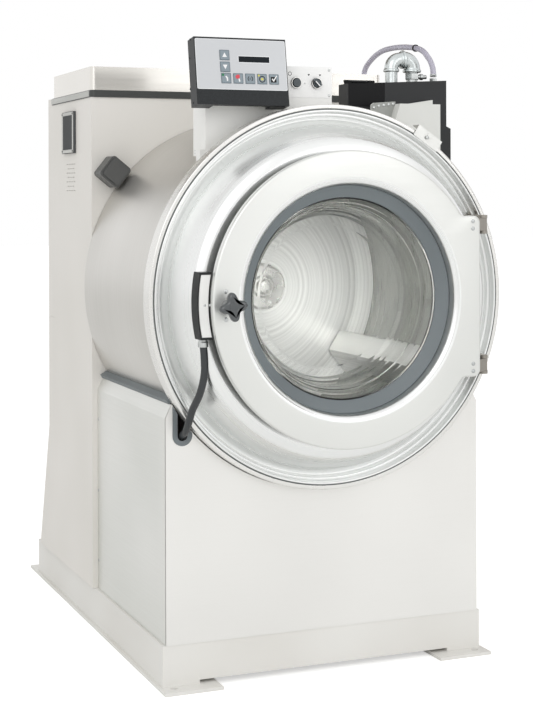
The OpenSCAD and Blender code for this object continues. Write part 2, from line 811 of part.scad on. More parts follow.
// Dark trim strip between the cabinet and its cap
module cap_trim() {
    x = cab_x + 3;
    y0 = cab_front - 4;
    l = cab_side_y1 + 29 - y0;
    wall = 14;
    color("dimgray") placed() difference() {
        translate([-x, y0, cab_top + gap]) linear_extrude(trim_h - gap) round_rect(2 * x, l, 13);
        translate([wall - x, y0 + wall, cab_top - 1]) cube([2 * (x - wall), l - 2 * wall, trim_h + 2]);
    }
}

// Fan filter on the cabinet's left side, with the fan behind it
module fan_filter() {
    y = cab_front + 222;
    z = cab_top - 89;
    color([0.35, 0.36, 0.38]) placed() {
        translate([-cab_x - 8, y - filter_l / 2, z - filter_h / 2]) cube([8 - gap, filter_l, filter_h]);
        translate([-cab_x - gap - 1, y, z]) rotate([0, 90, 0]) cylinder(r = 48, h = 40);
    }
}

// Vibration switch on the cabinet's front wall beside the shell
module vibration_switch() {
    r = shell_r + 40;
    at = acos(-(cab_x - 50) / r);
    s = 66;
    h = 66 - gap;
    color([0.2, 0.2, 0.21]) placed() on_axis() rotate([0, 0, at])
        translate([r, 0, gap - cab_front]) difference() {
            union() {
                translate([-s / 2, -s / 2, 0]) linear_extrude(h - 6) round_rect(s, s, 10);
                translate([6 - s / 2, 6 - s / 2, 0]) linear_extrude(h) round_rect(s - 12, s - 12, 8);
            }
            translate([3 - s / 2, 3 - s / 2, 3]) linear_extrude(h - 12) round_rect(s - 6, s - 6, 8);
        }
}

// Control column: folded sheet box standing on the shell, with the wedge that holds the control box
module control_column() {
    w = col_left + col_right;
    lean = tan(box_lean);
    back_y = box_y + box_d / cos(box_lean) + gap;
    wedge_z0 = box_z + 12;
    wedge_z1 = plate_z + 60;
    foot_x = col_left + 14;
    foot_z = axis_z - 13 + sqrt(shell_r * shell_r - foot_x * foot_x);
    color("whitesmoke") placed() difference() {
        union() {
            difference() {
                translate([-col_left, col_front, axis_z]) cube([w, col_d, col_top - axis_z]);
                translate([col_wall - col_left, col_front + col_wall, axis_z - 1])
                    cube([w - 2 * col_wall, col_d - 2 * col_wall, col_top - axis_z + 1 - col_wall]);
                translate([-col_left - 1, col_front - 1, plate_z - gap])
                    cube([w + 2, col_wall + 1 + gap, big]);
            }
            translate([1 - col_left, 0, 0]) rotate([90, 0, 90]) linear_extrude(147)
                polygon([[col_front + 1, wedge_z0], [col_front + 1, plate_z - gap],
                    [col_front - gap, plate_z - gap], [col_front - gap, wedge_z1],
                    [back_y + (wedge_z1 - box_z) * lean, wedge_z1],
                    [back_y + (wedge_z0 - box_z) * lean, wedge_z0]]);
            translate([-foot_x, col_front, foot_z]) cube([15, 30, 40]);
        }
        translate([0, big / 2, 0]) on_axis() cylinder(r = shell_r + gap, h = big);
    }
}

// Switch plate across the top of the control column
module switch_plate() {
    color("whitesmoke") placed() difference() {
        translate([-col_left, col_front, plate_z]) cube([col_left + col_right, col_wall, plate_h]);
        for (p = [button_at, selector_at])
            facing(p[0], col_front + 5, p[1]) cylinder(r = 8, h = 10);
    }
}

// Bezels of the push button and the selector switch
module switch_bezels() {
    color([0.12, 0.12, 0.13]) placed() for (p = [button_at, selector_at])
        facing(p[0], col_front - gap, p[1]) band(cap_r + gap, bezel_r, 0, 5);
}

// Push button with its stem
module push_button() {
    color([0.12, 0.12, 0.13]) placed() facing(button_at[0], col_front, button_at[1]) {
        translate([0, 0, button_travel + 1]) cylinder(r = cap_r, h = 4);
        translate([0, 0, -10]) cylinder(r = 5, h = 16);
    }
}

// Selector switch with a lever handle, pointing to the upper left at rest
module selector_switch() {
    color([0.12, 0.12, 0.13]) placed() facing(selector_at[0], col_front, selector_at[1]) {
        translate([0, 0, 1]) cylinder(r = cap_r, h = 6);
        translate([0, 0, -10]) cylinder(r = 5, h = 12);
        rotate([0, 0, 135]) translate([-10, -4, 6]) cube([23, 8, 9]);
    }
}

// Moves to the control box's lower left front edge and leans back with it
module on_box() {
    translate([-box_left, box_y, box_z]) rotate([-box_lean, 0, 0]) children();
}

// Control box housing
module control_box() {
    wall = 3;
    notch = [45, 14, 0];
    color([0.15, 0.15, 0.16]) placed() on_box() difference() {
        cube([box_w, box_d, box_h]);
        translate([wall, wall, wall + 16]) cube([box_w - 2 * wall, box_d - 2 * wall, box_h - 16 - 2 * wall]);
        translate([notch[0], notch[1], -1]) cube([147, box_d, 16]);
    }
}

// Square hole for a key in the overlay, about the key's centre
module key_hole(x, z) {
    s = key_s + 2 * gap;
    translate([x - s / 2, -5, z - s / 2]) cube([s, 10, s]);
}

// Keypad overlay on the front of the control box
module keypad_overlay() {
    color("lightgray") placed() on_box() difference() {
        translate([3, -overlay_t - run, overlay_z]) cube([overlay_w, overlay_t, overlay_h]);
        for (x = key_xs) key_hole(x, key_row_z);
        for (z = [key_up_z, key_down_z]) key_hole(key_col_x, z);
        translate([window_at[0] - gap, -5, window_at[1] - gap])
            cube([window_w + 2 * gap, 10, window_h + 2 * gap]);
    }
}

// Display window in the overlay
module display_window() {
    color([0.05, 0.1, 0.13]) placed() on_box()
        translate([window_at[0], -overlay_t, window_at[1]]) cube([window_w, overlay_t - run, window_h]);
}

// One key, about its centre
module key_cap(x, z) {
    t = 1.2;
    color([0.55, 0.61, 0.65]) placed() on_box()
        translate([x - key_s / 2, -t - key_travel - gap, z - key_s / 2]) cube([key_s, t, key_s]);
}

module key_up() {
    key_cap(key_col_x, key_up_z);
}

module key_down() {
    key_cap(key_col_x, key_down_z);
}

module key_start() {
    key_cap(key_xs[0], key_row_z);
}

module key_stop() {
    key_cap(key_xs[1], key_row_z);
}

module key_signal() {
    key_cap(key_xs[2], key_row_z);
}

module key_manual() {
    key_cap(key_xs[3], key_row_z);
}

module key_enter() {
    key_cap(key_xs[4], key_row_z);
}

// Height of the injector box's top at the place x
function inj_z(x) = inj_top + (x - inj_left) * inj_fall / inj_w;

// Outline of the injector box from the front, made smaller by the wall w
module inj_outline(w) {
    right = inj_left + inj_w;
    polygon([[inj_left + w, inj_z(inj_left) - w], [right - w, inj_z(right) - w],
        [right - w, inj_step_z - w], [right + inj_step - w, inj_step_z - 6 - w],
        [right + inj_step - w, inj_low + w], [inj_left + w, inj_low + w]]);
}

// Space of the injector's lid, made smaller by the gap g
module lid_space(g) {
    translate([lid_x + g, inj_front - 1, inj_top - lid_h + g])
        cube([lid_w - 2 * g, lid_back + 1 - g, lid_h + 40]);
}

// Supply injector box, hollow, with an opening for its lid and holes for the pipes
module injector_box() {
    color([0.23, 0.23, 0.24]) placed() difference() {
        facing(0, inj_front + inj_d, 0) linear_extrude(inj_d) inj_outline(0);
        difference() {
            facing(0, inj_front + inj_d - inj_t, 0) linear_extrude(inj_d - 2 * inj_t) inj_outline(inj_t);
            translate([0, big / 2, 0]) on_axis() cylinder(r = shell_r + gap + inj_t, h = big);
        }
        lid_space(0);
        translate([0, big / 2, 0]) on_axis() cylinder(r = shell_r + gap, h = big);
        for (x = riser_xs) translate([x, riser_y, inj_top - 20]) cylinder(r = pipe_r + gap, h = 60);
    }
    color([0.23, 0.23, 0.24]) placed() {
        x0 = lid_x + lid_gap + lid_barrel_in;
        l = lid_w - 2 * (lid_gap + lid_barrel_in);
        mid = l - 2 * lid_barrel_l - 2 * lid_gap;
        translate([x0, lid_pin_y, lid_pin_z]) rotate([0, 90, 0]) cylinder(r = lid_pin_r, h = l);
        translate([x0 + lid_barrel_l + lid_gap, lid_pin_y, lid_pin_z]) {
            rotate([0, 90, 0]) cylinder(r = lid_barrel_r, h = mid);
            translate([0, -1, 0]) cube([mid, 7, lid_barrel_r - 1]);
            translate([0, 3, -12]) cube([mid, 3, 12]);
        }
    }
}

// Lid of the injector: front apron and sloped top with a hinge at the rear
module injector_lid() {
    t = 3;
    x0 = lid_x + lid_gap;
    l = lid_w - 2 * lid_gap;
    color([0.13, 0.13, 0.13]) placed() difference() {
        union() {
            difference() {
                intersection() {
                    facing(0, inj_front + inj_d, 0) linear_extrude(inj_d) inj_outline(0);
                    lid_space(lid_gap);
                }
                translate([x0 - 1, inj_front + t, 0]) cube([l + 2, lid_back, inj_top - t]);
            }
            for (x = [x0 + lid_barrel_in, x0 + l - lid_barrel_in - lid_barrel_l])
                translate([x, lid_pin_y, lid_pin_z]) {
                    translate([0, -4, inj_top - t - lid_pin_z])
                        cube([lid_barrel_l, 4, lid_pin_z - inj_top + t]);
                    rotate([0, 90, 0]) cylinder(r = lid_barrel_r, h = lid_barrel_l);
                }
        }
        translate([x0 - 1, lid_pin_y, lid_pin_z]) rotate([0, 90, 0])
            cylinder(r = lid_pin_r + run, h = l + 2);
    }
}

// Outline of the chute from the front, made smaller by the wall w
module chute_outline(x0, x1, w) {
    polygon([[x0 + w, chute_low], [x0 + w, chute_top - 130], [x0 + chute_slant + w, chute_top - w],
        [x1 - w, chute_top - w], [x1 - w, chute_low]]);
}

// Chute that leads from the injector into the shell, with the bolted plate beside it
module injector_chute() {
    y0 = inj_front - chute_l;
    d = chute_l - gap;
    x0 = inj_left + chute_in;
    x1 = x0 + chute_w;
    plate_x = inj_left + 49;
    color("gainsboro") placed() difference() {
        union() {
            difference() {
                facing(0, y0 + d, 0) linear_extrude(d)
                    chute_outline(x0, x1, 0);
                facing(0, y0 + d - sheet_t, 0) linear_extrude(d - 2 * sheet_t)
                    chute_outline(x0, x1, sheet_t);
            }
            facing(0, y0 + d, 0) linear_extrude(28)
                polygon([[x0 + flap_in, chute_top - 1], [x1, chute_top + 14], [x1, chute_top - 1]]);
            facing(0, y0 + chute_l / 2 - 1, 0) linear_extrude(2 * sheet_t)
                polygon([[plate_x, chute_top - 160], [plate_x, chute_top - 3], [plate_x + 7, chute_top + 2],
                    [plate_x + plate_w, chute_top + 7], [plate_x + plate_w, chute_top - 160]]);
        }
        translate([0, big / 2, 0]) on_axis() cylinder(r = shell_r + gap, h = big);
    }
}

// Vacuum breaker: two risers, two elbows and a nipple of galvanised pipe, and the hose barb
module vacuum_breaker() {
    bend = 25;
    elbow_r = pipe_r + 4;
    low = inj_top - 12;
    z = inj_top + 45;
    span = riser_xs[1] - riser_xs[0];
    color("lightsteelblue") placed() translate([riser_xs[0], riser_y, 0]) {
        for (x = [0, span]) {
            translate([x, 0, low]) cylinder(r = pipe_r, h = z - low);
            translate([x, 0, z - 9]) cylinder(r = elbow_r + 2, h = 9);
        }
        translate([bend, 0, z + bend - eps]) rotate([0, 90, 0]) cylinder(r = pipe_r, h = span - 2 * bend);
        for (s = [0, 1]) translate([s * span, 0, z - eps]) mirror([s, 0, 0]) translate([bend, 0, 0])
            rotate([90, 0, 0]) rotate([0, 0, 90])
            rotate_extrude(angle = 90) translate([bend, 0]) circle(r = elbow_r, $fn = 48);
        for (x = [bend, span - bend - 7]) translate([x, 0, z + bend]) rotate([0, 90, 0])
            cylinder(r = elbow_r + 2, h = 7);
        translate([span, 0, inj_z(riser_xs[1]) + 2]) cylinder(r = pipe_r + 4, h = 18, $fn = 6);
    }
    color("lightsteelblue") placed() translate([hose_x, riser_y, inj_z(hose_x) + gap + 0.5]) {
        cylinder(r = 11, h = 5, $fn = 6);
        cylinder(r = hose_r - 1, h = 11);
    }
}

// Clear breather hose from the injector to the cabinet's cap
module breather_hose() {
    color([0.78, 0.76, 0.82]) placed() tube(hose_pts, hose_r, 12, 6);
}

// Drain: stub under the shell, valve body with its drive, and the pipe to the rear
module drain_valve() {
    end = cover_y1 + flare_d + drain_out;
    valve_z = drain_z + 120;
    color([0.3, 0.31, 0.33]) placed() {
        difference() {
            union() {
                translate([-drain_x, drain_y, drain_z])
                    cylinder(r = drain_r, h = axis_z - shell_r / 2 - drain_z);
                translate([-drain_x, drain_y, valve_z - 50]) cylinder(r = drain_r + 22, h = 100);
                facing(-drain_x, end, drain_z) cylinder(r = drain_r, h = drain_out);
                facing(-drain_x, end, drain_z) cylinder(r = drain_r - 2, h = end - drain_y);
                translate([-drain_x, drain_y, drain_z]) sphere(r = drain_r);
                translate([-drain_x + 50, drain_y - 30, valve_z - 30]) cube([90, 60, 60]);
            }
            translate([0, big / 2, 0]) on_axis() cylinder(r = shell_r + gap, h = big);
            translate([-drain_x, drain_y, drain_z]) cylinder(r = drain_r - 4, h = 500);
            facing(-drain_x, end + 1, drain_z) cylinder(r = drain_r - 4, h = end + 1 - drain_y);
        }
    }
}

// Two water inlet valves inside the rear cover
module inlet_valves() {
    end = cover_y1 + inlet_out;
    inner = cover_y1 - sheet_t - gap;
    color("gold") placed() for (x = inlet_xs) {
        facing(x, end, inlet_z) difference() {
            union() {
                cylinder(r = inlet_r, h = inlet_out - 2);
                cylinder(r = inlet_r - 1, h = end - inner + 20);
            }
            translate([0, 0, -1]) cylinder(r = inlet_r - 3, h = 31);
        }
        facing(x, inner, inlet_z) cylinder(r = inlet_r + 8, h = 4);
        translate([x - 28, inner - 90, inlet_z - 28]) cube([56, 76, 56]);
        translate([x, inner - 50, inlet_z + 27]) cylinder(r = 20, h = 45);
    }
}

// Cable gland of the power supply, at the rear
module cable_gland() {
    inner = cover_y1 - sheet_t - gap;
    color([0.2, 0.2, 0.21]) placed() difference() {
        union() {
            facing(gland_x, cover_y1 + 20, inlet_z) cylinder(r = gland_r, h = 20 + cover_y1 - inner + 12);
            facing(gland_x, cover_y1 + 10, inlet_z) cylinder(r = gland_r + 5, h = 9.7, $fn = 6);
            facing(gland_x, inner, inlet_z) cylinder(r = gland_r + 5, h = 8, $fn = 6);
        }
        facing(gland_x, cover_y1 + 30, inlet_z) cylinder(r = gland_r - 5, h = 100);
    }
}

// Drive motor on its foot
module drive_motor() {
    foot_x = 90;
    color([0.25, 0.3, 0.36]) placed() difference() {
        union() {
            facing(motor_x, motor_y1, motor_z) cylinder(r = motor_r, h = motor_l);
            translate([motor_x - foot_x, motor_y0 + 15, base_top + gap])
                cube([2 * foot_x, motor_l - 30, 14]);
            for (s = [-1, 1]) translate([motor_x + s * 60 - 8, motor_y0 + 15, base_top + 10])
                cube([16, motor_l - 30, motor_up - 10]);
            translate([motor_x - 45, motor_y0 + 70, motor_z + motor_r - 12]) cube([90, 90, 55]);
        }
        facing(motor_x, motor_y1 + 1, motor_z) cylinder(r = motor_shaft_r + run, h = 61);
    }
}

// A pulley with straight-sided grooves, from its rear face forward
module pulley(r) {
    pitch = pulley_w / grooves_n;
    difference() {
        cylinder(r = r, h = pulley_w);
        for (k = [0:grooves_n - 1])
            band(r - groove_d, r + 5, (k + 0.5) * pitch - groove_w / 2, (k + 0.5) * pitch + groove_w / 2);
    }
}

// Motor pulley with the motor's shaft end
module motor_pulley() {
    y1 = belt_y0 + pulley_w;
    color("slategray") placed() facing(motor_x, y1, motor_z) {
        pulley(motor_pulley_r);
        translate([0, 0, -6]) cylinder(r = motor_shaft_r, h = y1 - motor_y1 + 6 + 58);
    }
}

// Driven pulley on the drum shaft, with a thin web
module driven_pulley() {
    color("slategray") placed() facing(0, belt_y0 + pulley_w, axis_z) difference() {
        pulley(pulley_r);
        band(shaft_r + 25, pulley_r - groove_d - 14, -1, pulley_w / 2 - 7);
        band(shaft_r + 25, pulley_r - groove_d - 14, pulley_w / 2 + 7, pulley_w + 1);
        translate([0, 0, -1]) cylinder(r = shaft_r + run, h = pulley_w + 2);
    }
}

// Outline of a belt that runs round both pulleys, r1 and r2 from their centres
function belt_loop(r1, r2) =
    let (c = [motor_x, motor_z - axis_z], a = atan2(c[1], c[0]), b = acos((r1 - r2) / norm(c)))
    concat(arc([0, 0], r1, a + b, a + 360 - b, 44), arc(c, r2, a - b, a + b, 24));

// Drive belts round both pulleys
module drive_belts() {
    pitch = pulley_w / grooves_n;
    low = gap + 0.1 - groove_d;
    w = groove_w - 0.8;
    color([0.1, 0.1, 0.1]) placed() facing(0, belt_y0 + pulley_w, axis_z)
        for (k = [0:grooves_n - 1]) translate([0, 0, (k + 0.5) * pitch - w / 2]) linear_extrude(w)
            difference() {
                polygon(belt_loop(pulley_r + low + 8.5, motor_pulley_r + low + 8.5));
                polygon(belt_loop(pulley_r + low, motor_pulley_r + low));
            }
}

// Bearing housing bolted to the shell's back plate
module bearing_housing() {
    y0 = shell_rear + gap;
    color([0.35, 0.37, 0.4]) placed() difference() {
        union() {
            facing(0, housing_rear, axis_z) cylinder(r = housing_r, h = housing_rear - y0);
            facing(0, y0 + 20, axis_z) cylinder(r = housing_r + 62, h = 20);
        }
        facing(0, housing_rear + 1, axis_z) cylinder(r = shaft_r + 12, h = housing_rear);
        for (y = bearing_ys) facing(0, y + bearing_w, axis_z) cylinder(r = bearing_r, h = bearing_w);
    }
}

// Two bearings of the drum shaft
module shaft_bearings() {
    color("silver") placed() for (y = bearing_ys)
        facing(0, y + bearing_w - run, axis_z)
            band(shaft_r + run, bearing_r - run, 0, bearing_w - 2 * run);
}

// Drum shaft with the spider that carries the drum
module drum_shaft() {
    rear = belt_y0 + pulley_w + 15;
    front = drum_rear + gap;
    arm_t = 22;
    color("slategray") placed() {
        facing(0, rear, axis_z) cylinder(r = shaft_r, h = rear - front - 8);
        facing(0, front + arm_t, axis_z) cylinder(r = 95, h = arm_t);
        facing(0, front + 6, axis_z) cylinder(r = 50, h = front + 6 - hub_y - gap);
        for (k = [0:lifters_n - 1]) facing(0, front + arm_t, axis_z)
            rotate([0, 0, lifter_a0 + k * 360 / lifters_n]) translate([70, -30, 2])
            cube([drum_r - 82, 60, arm_t - 4]);
    }
}

// Drum: basket with a dished front ring and a coned rear head
module drum() {
    p = [[drum_mouth_r, drum_front - 6], [drum_mouth_r + 4, drum_front],
        [drum_mouth_r + 12, drum_front], [drum_r - 5, 2], [drum_r, -4], [drum_r, -drum_rear],
        [drum_r - 55, -drum_rear], [shaft_r + 27, -hub_y], [0, -hub_y]];
    back = [for (i = [len(p) - 2:-1:1]) p[i] + side_step(p, i, -drum_t)];
    color("silver") placed() on_axis() {
        rotate_extrude() polygon(concat(p, [[0, drum_t - hub_y]], back,
            [[drum_mouth_r + drum_t, drum_front - 6]]));
        translate([0, 0, drum_t - hub_y - eps]) cylinder(r = 18, h = 20);
    }
}

// Lifters on the inside of the drum, hollow
module lifters() {
    l = drum_rear - 30;
    r0 = drum_r - drum_t - lifter_h;
    color("silver") placed() on_axis() intersection() {
        cylinder(r = drum_r - drum_t - gap, h = 2 * big, center = true);
        for (k = [0:lifters_n - 1]) rotate([0, 0, lifter_a0 + k * 360 / lifters_n])
            translate([0, 0, -l - 8]) difference() {
                lifter_shape(r0, lifter_w, l);
                translate([0, 0, 2]) lifter_shape(r0 + 2, lifter_w - 5, l - 4);
            }
    }
}

// Solid shape of a lifter with its flat top at r0
module lifter_shape(r0, w, l) {
    top = 0.25 * w;
    linear_extrude(l) polygon([[r0, -top], [r0 + 8, -top - 6], [drum_r, -w / 2], [drum_r, w / 2],
        [r0 + 8, top + 6], [r0, top]]);
}

// Outline of the door from the front, made smaller by s
module door_outline(s) {
    h = flange_h / 2 - s;
    intersection() {
        circle(r = door_r - s);
        translate([-big / 2, -big / 2]) square([big / 2 + flange_x - s, big]);
    }
    translate([flange_x - s - flange_w, -h]) round_rect(flange_w, 2 * h, 18 - s);
}

// Door panel: pan with turned rim, squared hinge flange and the window's turned lip
module door_panel() {
    lip = 15;
    color("whitesmoke") placed() on_axis() difference() {
        union() {
            translate([0, 0, door_front - rim_d]) linear_extrude(rim_d) door_outline(0);
        }
        translate([0, 0, door_front - rim_d - 1]) linear_extrude(rim_d + 1 - door_t) difference() {
            door_outline(door_t);
            circle(r = window_r + door_t);
            translate([-knob_x, -latch_drop]) circle(r = 16);
        }
        cylinder(r = window_r, h = big);
        translate([0, 0, door_front - rim_d - 1]) cylinder(r = window_r + door_t + 1, h = rim_d + 1 - lip);
        translate([-knob_x, -latch_drop, 0]) cylinder(r = spindle_r + run, h = big);
    }
}

// Window gasket between the door panel, the glass and the head
module door_gasket() {
    f = door_front;
    color([0.42, 0.45, 0.46]) placed() on_axis() rotate_extrude() polygon([
        [window_r - gap, f - 14], [glass_r + 1 + gap, f - 48.5], [glass_r + 1 + gap, f - 54],
        [glass_r + 6, f - 54], [glass_r + 17, f - 48.7], [window_r + 20, f - 48.7],
        [window_r + 20, f - 43], [window_r + 6, f - 15 - gap], [window_r - gap, f - 15 - gap]]);
}

// Glass bowl of the window
module door_glass() {
    g = glass_r + 1;
    f = door_front - 49;
    p = [[g, f], [g, f - 6], [g - 18, f - 36], [g - 24, f - 84], [g - 30, f - 102],
        [(g - 30 + bowl_r) / 2, f - 111], [bowl_r, f - bowl_d + 3], [bowl_r / 2, f - bowl_d + 0.7],
        [0, f - bowl_d]];
    back = [for (i = [len(p) - 2:-1:2]) p[i] + side_step(p, i, -glass_t)];
    color([0.6, 0.65, 0.68, 0.5]) placed() on_axis() rotate_extrude()
        polygon(concat(p, [[0, f - bowl_d + glass_t]], back, [[g - glass_t, f]]));
}

// Star knob with its neck and spindle
module star_knob() {
    lobe = 13.5;
    turn = 7;
    color([0.25, 0.26, 0.27]) placed() on_axis() translate([-knob_x, -latch_drop, 0]) {
        translate([0, 0, door_front + knob_gap]) {
            cylinder(r = 21.5, h = knob_t - 2);
            translate([0, 0, 6]) cylinder(r = 11, h = knob_t - 6);
            for (k = [0:3]) rotate([0, 0, turn + 90 * k]) translate([knob_r - lobe, 0, 0])
                cylinder(r = lobe, h = knob_t - 3);
        }
        translate([0, 0, door_front + gap]) cylinder(r = 14, h = knob_gap + 4);
        translate([0, 0, door_front - 36]) cylinder(r = spindle_r, h = 44);
    }
}

// Latch cam on the spindle's inner end
module latch_cam() {
    w = 20;
    color("silver") placed() on_axis() translate([-knob_x, -latch_drop, door_front - 35]) {
        difference() {
            union() {
                cylinder(r = 14, h = 10);
                translate([-w / 2, -cam_l, 0]) cube([w, cam_l, 10]);
            }
            translate([0, 0, -1]) cylinder(r = spindle_r + run, h = 12);
        }
        translate([0, 0, -5]) cylinder(r = 13, h = 4, $fn = 6);
    }
}

// Arc between two radii and two depths beside the door, cut level above and below
module lock_piece(r0, r1, z0, z1, half) {
    intersection() {
        sector(r0, r1, z0, z1, 160, 40);
        translate([-lock_r - 5, -lock_drop - half, z0 - 1]) cube([lock_r, 2 * half, z1 - z0 + 2]);
    }
}

// Housing of the door lock, an arc beside the door, with the pocket for the cam
module lock_housing() {
    front = door_front - 19;
    low = door_front - 37;
    high = door_front - 23.3;
    color([0.12, 0.12, 0.13]) placed() difference() {
        on_axis() difference() {
            lock_piece(lock_in_r, lock_r, 0, front, lock_half);
            lock_piece(lock_in_r - 1, lock_r - lock_edge + gap, high, front + 1,
                lock_half - lock_frame + gap);
            sector(lock_in_r - 1, lock_in_r + 19, low, high + 1, lock_a - 3.2, 12.4);
        }
        head_space();
    }
}

// White plate on the front of the lock housing
module lock_plate() {
    z0 = door_front - 23;
    color("whitesmoke") placed() on_axis()
        lock_piece(lock_in_r, lock_r - lock_edge, z0, z0 + lock_plate_t, lock_half - lock_frame);
}

// Conduit of the door lock with the nuts at its two ends
module lock_conduit() {
    end = conduit_pts[len(conduit_pts) - 1];
    color([0.3, 0.31, 0.33]) placed() {
        tube(conduit_pts, conduit_r, 12, 5);
        translate(conduit_pts[0] + [0, 0, -8]) cylinder(r = conduit_r + 3, h = 18, $fn = 6);
        facing(end[0], end[1] + gap, end[2]) cylinder(r = conduit_r + 3, h = 12, $fn = 6);
    }
}

// Fixed hinge brackets with their pins, fitted to the head
module hinge_bracket() {
    half = barrel_h / 2 + gap;
    reach = 60;
    color("gainsboro") placed() difference() {
        for (s = [-1, 1]) translate([hinge_x, -hinge_front, axis_z + s * hinge_z]) {
            for (z = [-half - lug_t, half]) translate([0, 0, z]) {
                cylinder(r = barrel_r + 1, h = lug_t);
                translate([-barrel_r - 1, 0, 0]) cube([2 * barrel_r + 2, reach + 40, lug_t]);
            }
            translate([-barrel_r - 1, barrel_r + 5, -half - lug_t])
                cube([2 * barrel_r + 2, reach + 24, 2 * (half + lug_t)]);
            translate([0, 0, -half - lug_t]) cylinder(r = pin_r, h = 2 * (half + lug_t));
        }
        head_space();
    }
}

// Hinge arms of the door with their barrels
module hinge_arms() {
    z0 = -barrel_h / 2;
    y = door_t + gap - door_front;
    root_x = flange_x - 46;
    color("whitesmoke") placed() for (s = [-1, 1]) translate([0, 0, axis_z + s * hinge_z + z0])
        difference() {
            union() {
                translate([hinge_x, -hinge_front, 0]) cylinder(r = barrel_r, h = barrel_h);
                linear_extrude(barrel_h) polygon([[root_x, y], [flange_x - 9, y],
                    [flange_x - 9, rim_d + 2.5 - door_front], [flange_x + 10, rim_d + 2.5 - door_front],
                    [hinge_x + 5, -hinge_front - 9], [hinge_x - 10, -hinge_front + 4],
                    [flange_x + 2, -hinge_front - 24], [root_x, y + 9]]);
            }
            translate([hinge_x, -hinge_front, -1]) cylinder(r = pin_r + run, h = barrel_h + 2);
        }
}

base_frame();
outer_shell();
front_head();
clamp_ring();
ring_seal();
ring_bracket();
front_panel();
side_panel_left();
side_panel_right();
side_gaskets();
conduit_grommet();
cabinet();
upper_rear_cover();
lower_rear_cover();
cabinet_cap();
cap_trim();
fan_filter();
vibration_switch();
control_column();
switch_plate();
control_box();
keypad_overlay();
display_window();
key_up();
key_down();
key_start();
key_stop();
key_signal();
key_manual();
key_enter();
push_button();
selector_switch();
switch_bezels();
injector_box();
injector_lid();
injector_chute();
vacuum_breaker();
breather_hose();
lock_plate();
drain_valve();
inlet_valves();
cable_gland();
drive_motor();
motor_pulley();
driven_pulley();
drive_belts();
bearing_housing();
shaft_bearings();
drum_shaft();
drum();
lifters();
door_panel();
door_gasket();
door_glass();
star_knob();
latch_cam();
lock_housing();
lock_conduit();
hinge_bracket();
hinge_arms();
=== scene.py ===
"""Looks of a rigid-mount washer-extractor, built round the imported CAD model.

Sizes are in millimetres as in the part's source: x to the right, y to the back from the front
face of the base, z up from the floor. place() turns them to the frame's metres.
"""
import math

import bmesh
import bpy
import numpy as np
from mathutils import Matrix


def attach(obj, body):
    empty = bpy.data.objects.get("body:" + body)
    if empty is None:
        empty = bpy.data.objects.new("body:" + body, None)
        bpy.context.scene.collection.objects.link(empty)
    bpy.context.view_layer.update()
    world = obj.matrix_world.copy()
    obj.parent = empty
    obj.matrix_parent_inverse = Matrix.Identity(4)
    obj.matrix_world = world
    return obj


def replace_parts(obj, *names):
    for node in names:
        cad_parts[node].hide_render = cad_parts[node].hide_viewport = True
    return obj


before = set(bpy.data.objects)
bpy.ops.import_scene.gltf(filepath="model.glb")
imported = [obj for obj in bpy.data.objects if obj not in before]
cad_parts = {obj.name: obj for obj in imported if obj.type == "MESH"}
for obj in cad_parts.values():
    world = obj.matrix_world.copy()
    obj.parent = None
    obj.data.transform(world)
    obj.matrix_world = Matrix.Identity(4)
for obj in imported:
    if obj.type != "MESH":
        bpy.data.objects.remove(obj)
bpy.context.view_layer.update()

MID_Y = 541.5       # middle of the closed machine behind the base's front face
AXIS_Z = 923.0      # height of the drum's axis
DOOR_FACE = 153     # door's front face before the base's front face
RIBS = 494          # fine ribs round the clamp ring
FRONT = np.array([[1, 0, 0], [0, 0, 1], [0, -1, 0]], float)
TOP = np.eye(3)
LEFT = np.array([[0, -1, 0], [0, 0, 1], [-1, 0, 0]], float)
RIGHT = np.array([[0, 1, 0], [0, 0, 1], [1, 0, 0]], float)
DRUM = (0, 0, AXIS_Z)
LEAN = math.radians(9.3)    # the controller's face leans back by this
BOX = np.array([[1, 0, 0], [0, math.sin(LEAN), math.cos(LEAN)], [0, -math.cos(LEAN), math.sin(LEAN)]])
BOX_AT = (-343, -15, 1389)


# Camera

def camera():
    """Camera at the photograph's place: yaw, pitch and roll in degrees, focal length and the
    point straight ahead in pixels of the picture."""
    yaw, pitch, roll = np.radians([21.852, -0.083, -0.15])
    focal, straight_ahead = 1518.5, (254.5, 196.3)
    wide, tall, sensor = 533, 718, 36
    ahead = np.array([math.sin(yaw) * math.cos(pitch), math.cos(yaw) * math.cos(pitch), math.sin(pitch)])
    side = np.array([math.cos(yaw), -math.sin(yaw), 0])
    up = np.cross(side, ahead)
    right = side * math.cos(roll) + up * math.sin(roll)
    up = up * math.cos(roll) - side * math.sin(roll)
    lens = bpy.data.cameras.new("camera")
    lens.sensor_width = sensor
    lens.lens = focal * sensor / tall
    lens.shift_x = (wide / 2 - straight_ahead[0]) / tall
    lens.shift_y = (straight_ahead[1] - tall / 2) / tall
    lens.clip_end = 100
    eye = bpy.data.objects.new("camera", lens)
    eye.matrix_world = Matrix([[right[i], up[i], -ahead[i], p] for i, p in
                               enumerate((-1.56005, -3.95439, 1.17492))] + [[0, 0, 0, 1]])
    bpy.context.scene.collection.objects.link(eye)
    bpy.context.scene.camera = eye


# Shapes

def place(points):
    """Millimetres from the base's front face to metres in the frame."""
    return (np.asarray(points, float) - (0, MID_Y, 0)) / 1000


def put(local, axes, origin):
    """Local (u, v, w) points on the rows of axes, moved to the origin."""
    return np.asarray(local, float) @ axes + np.asarray(origin, float)


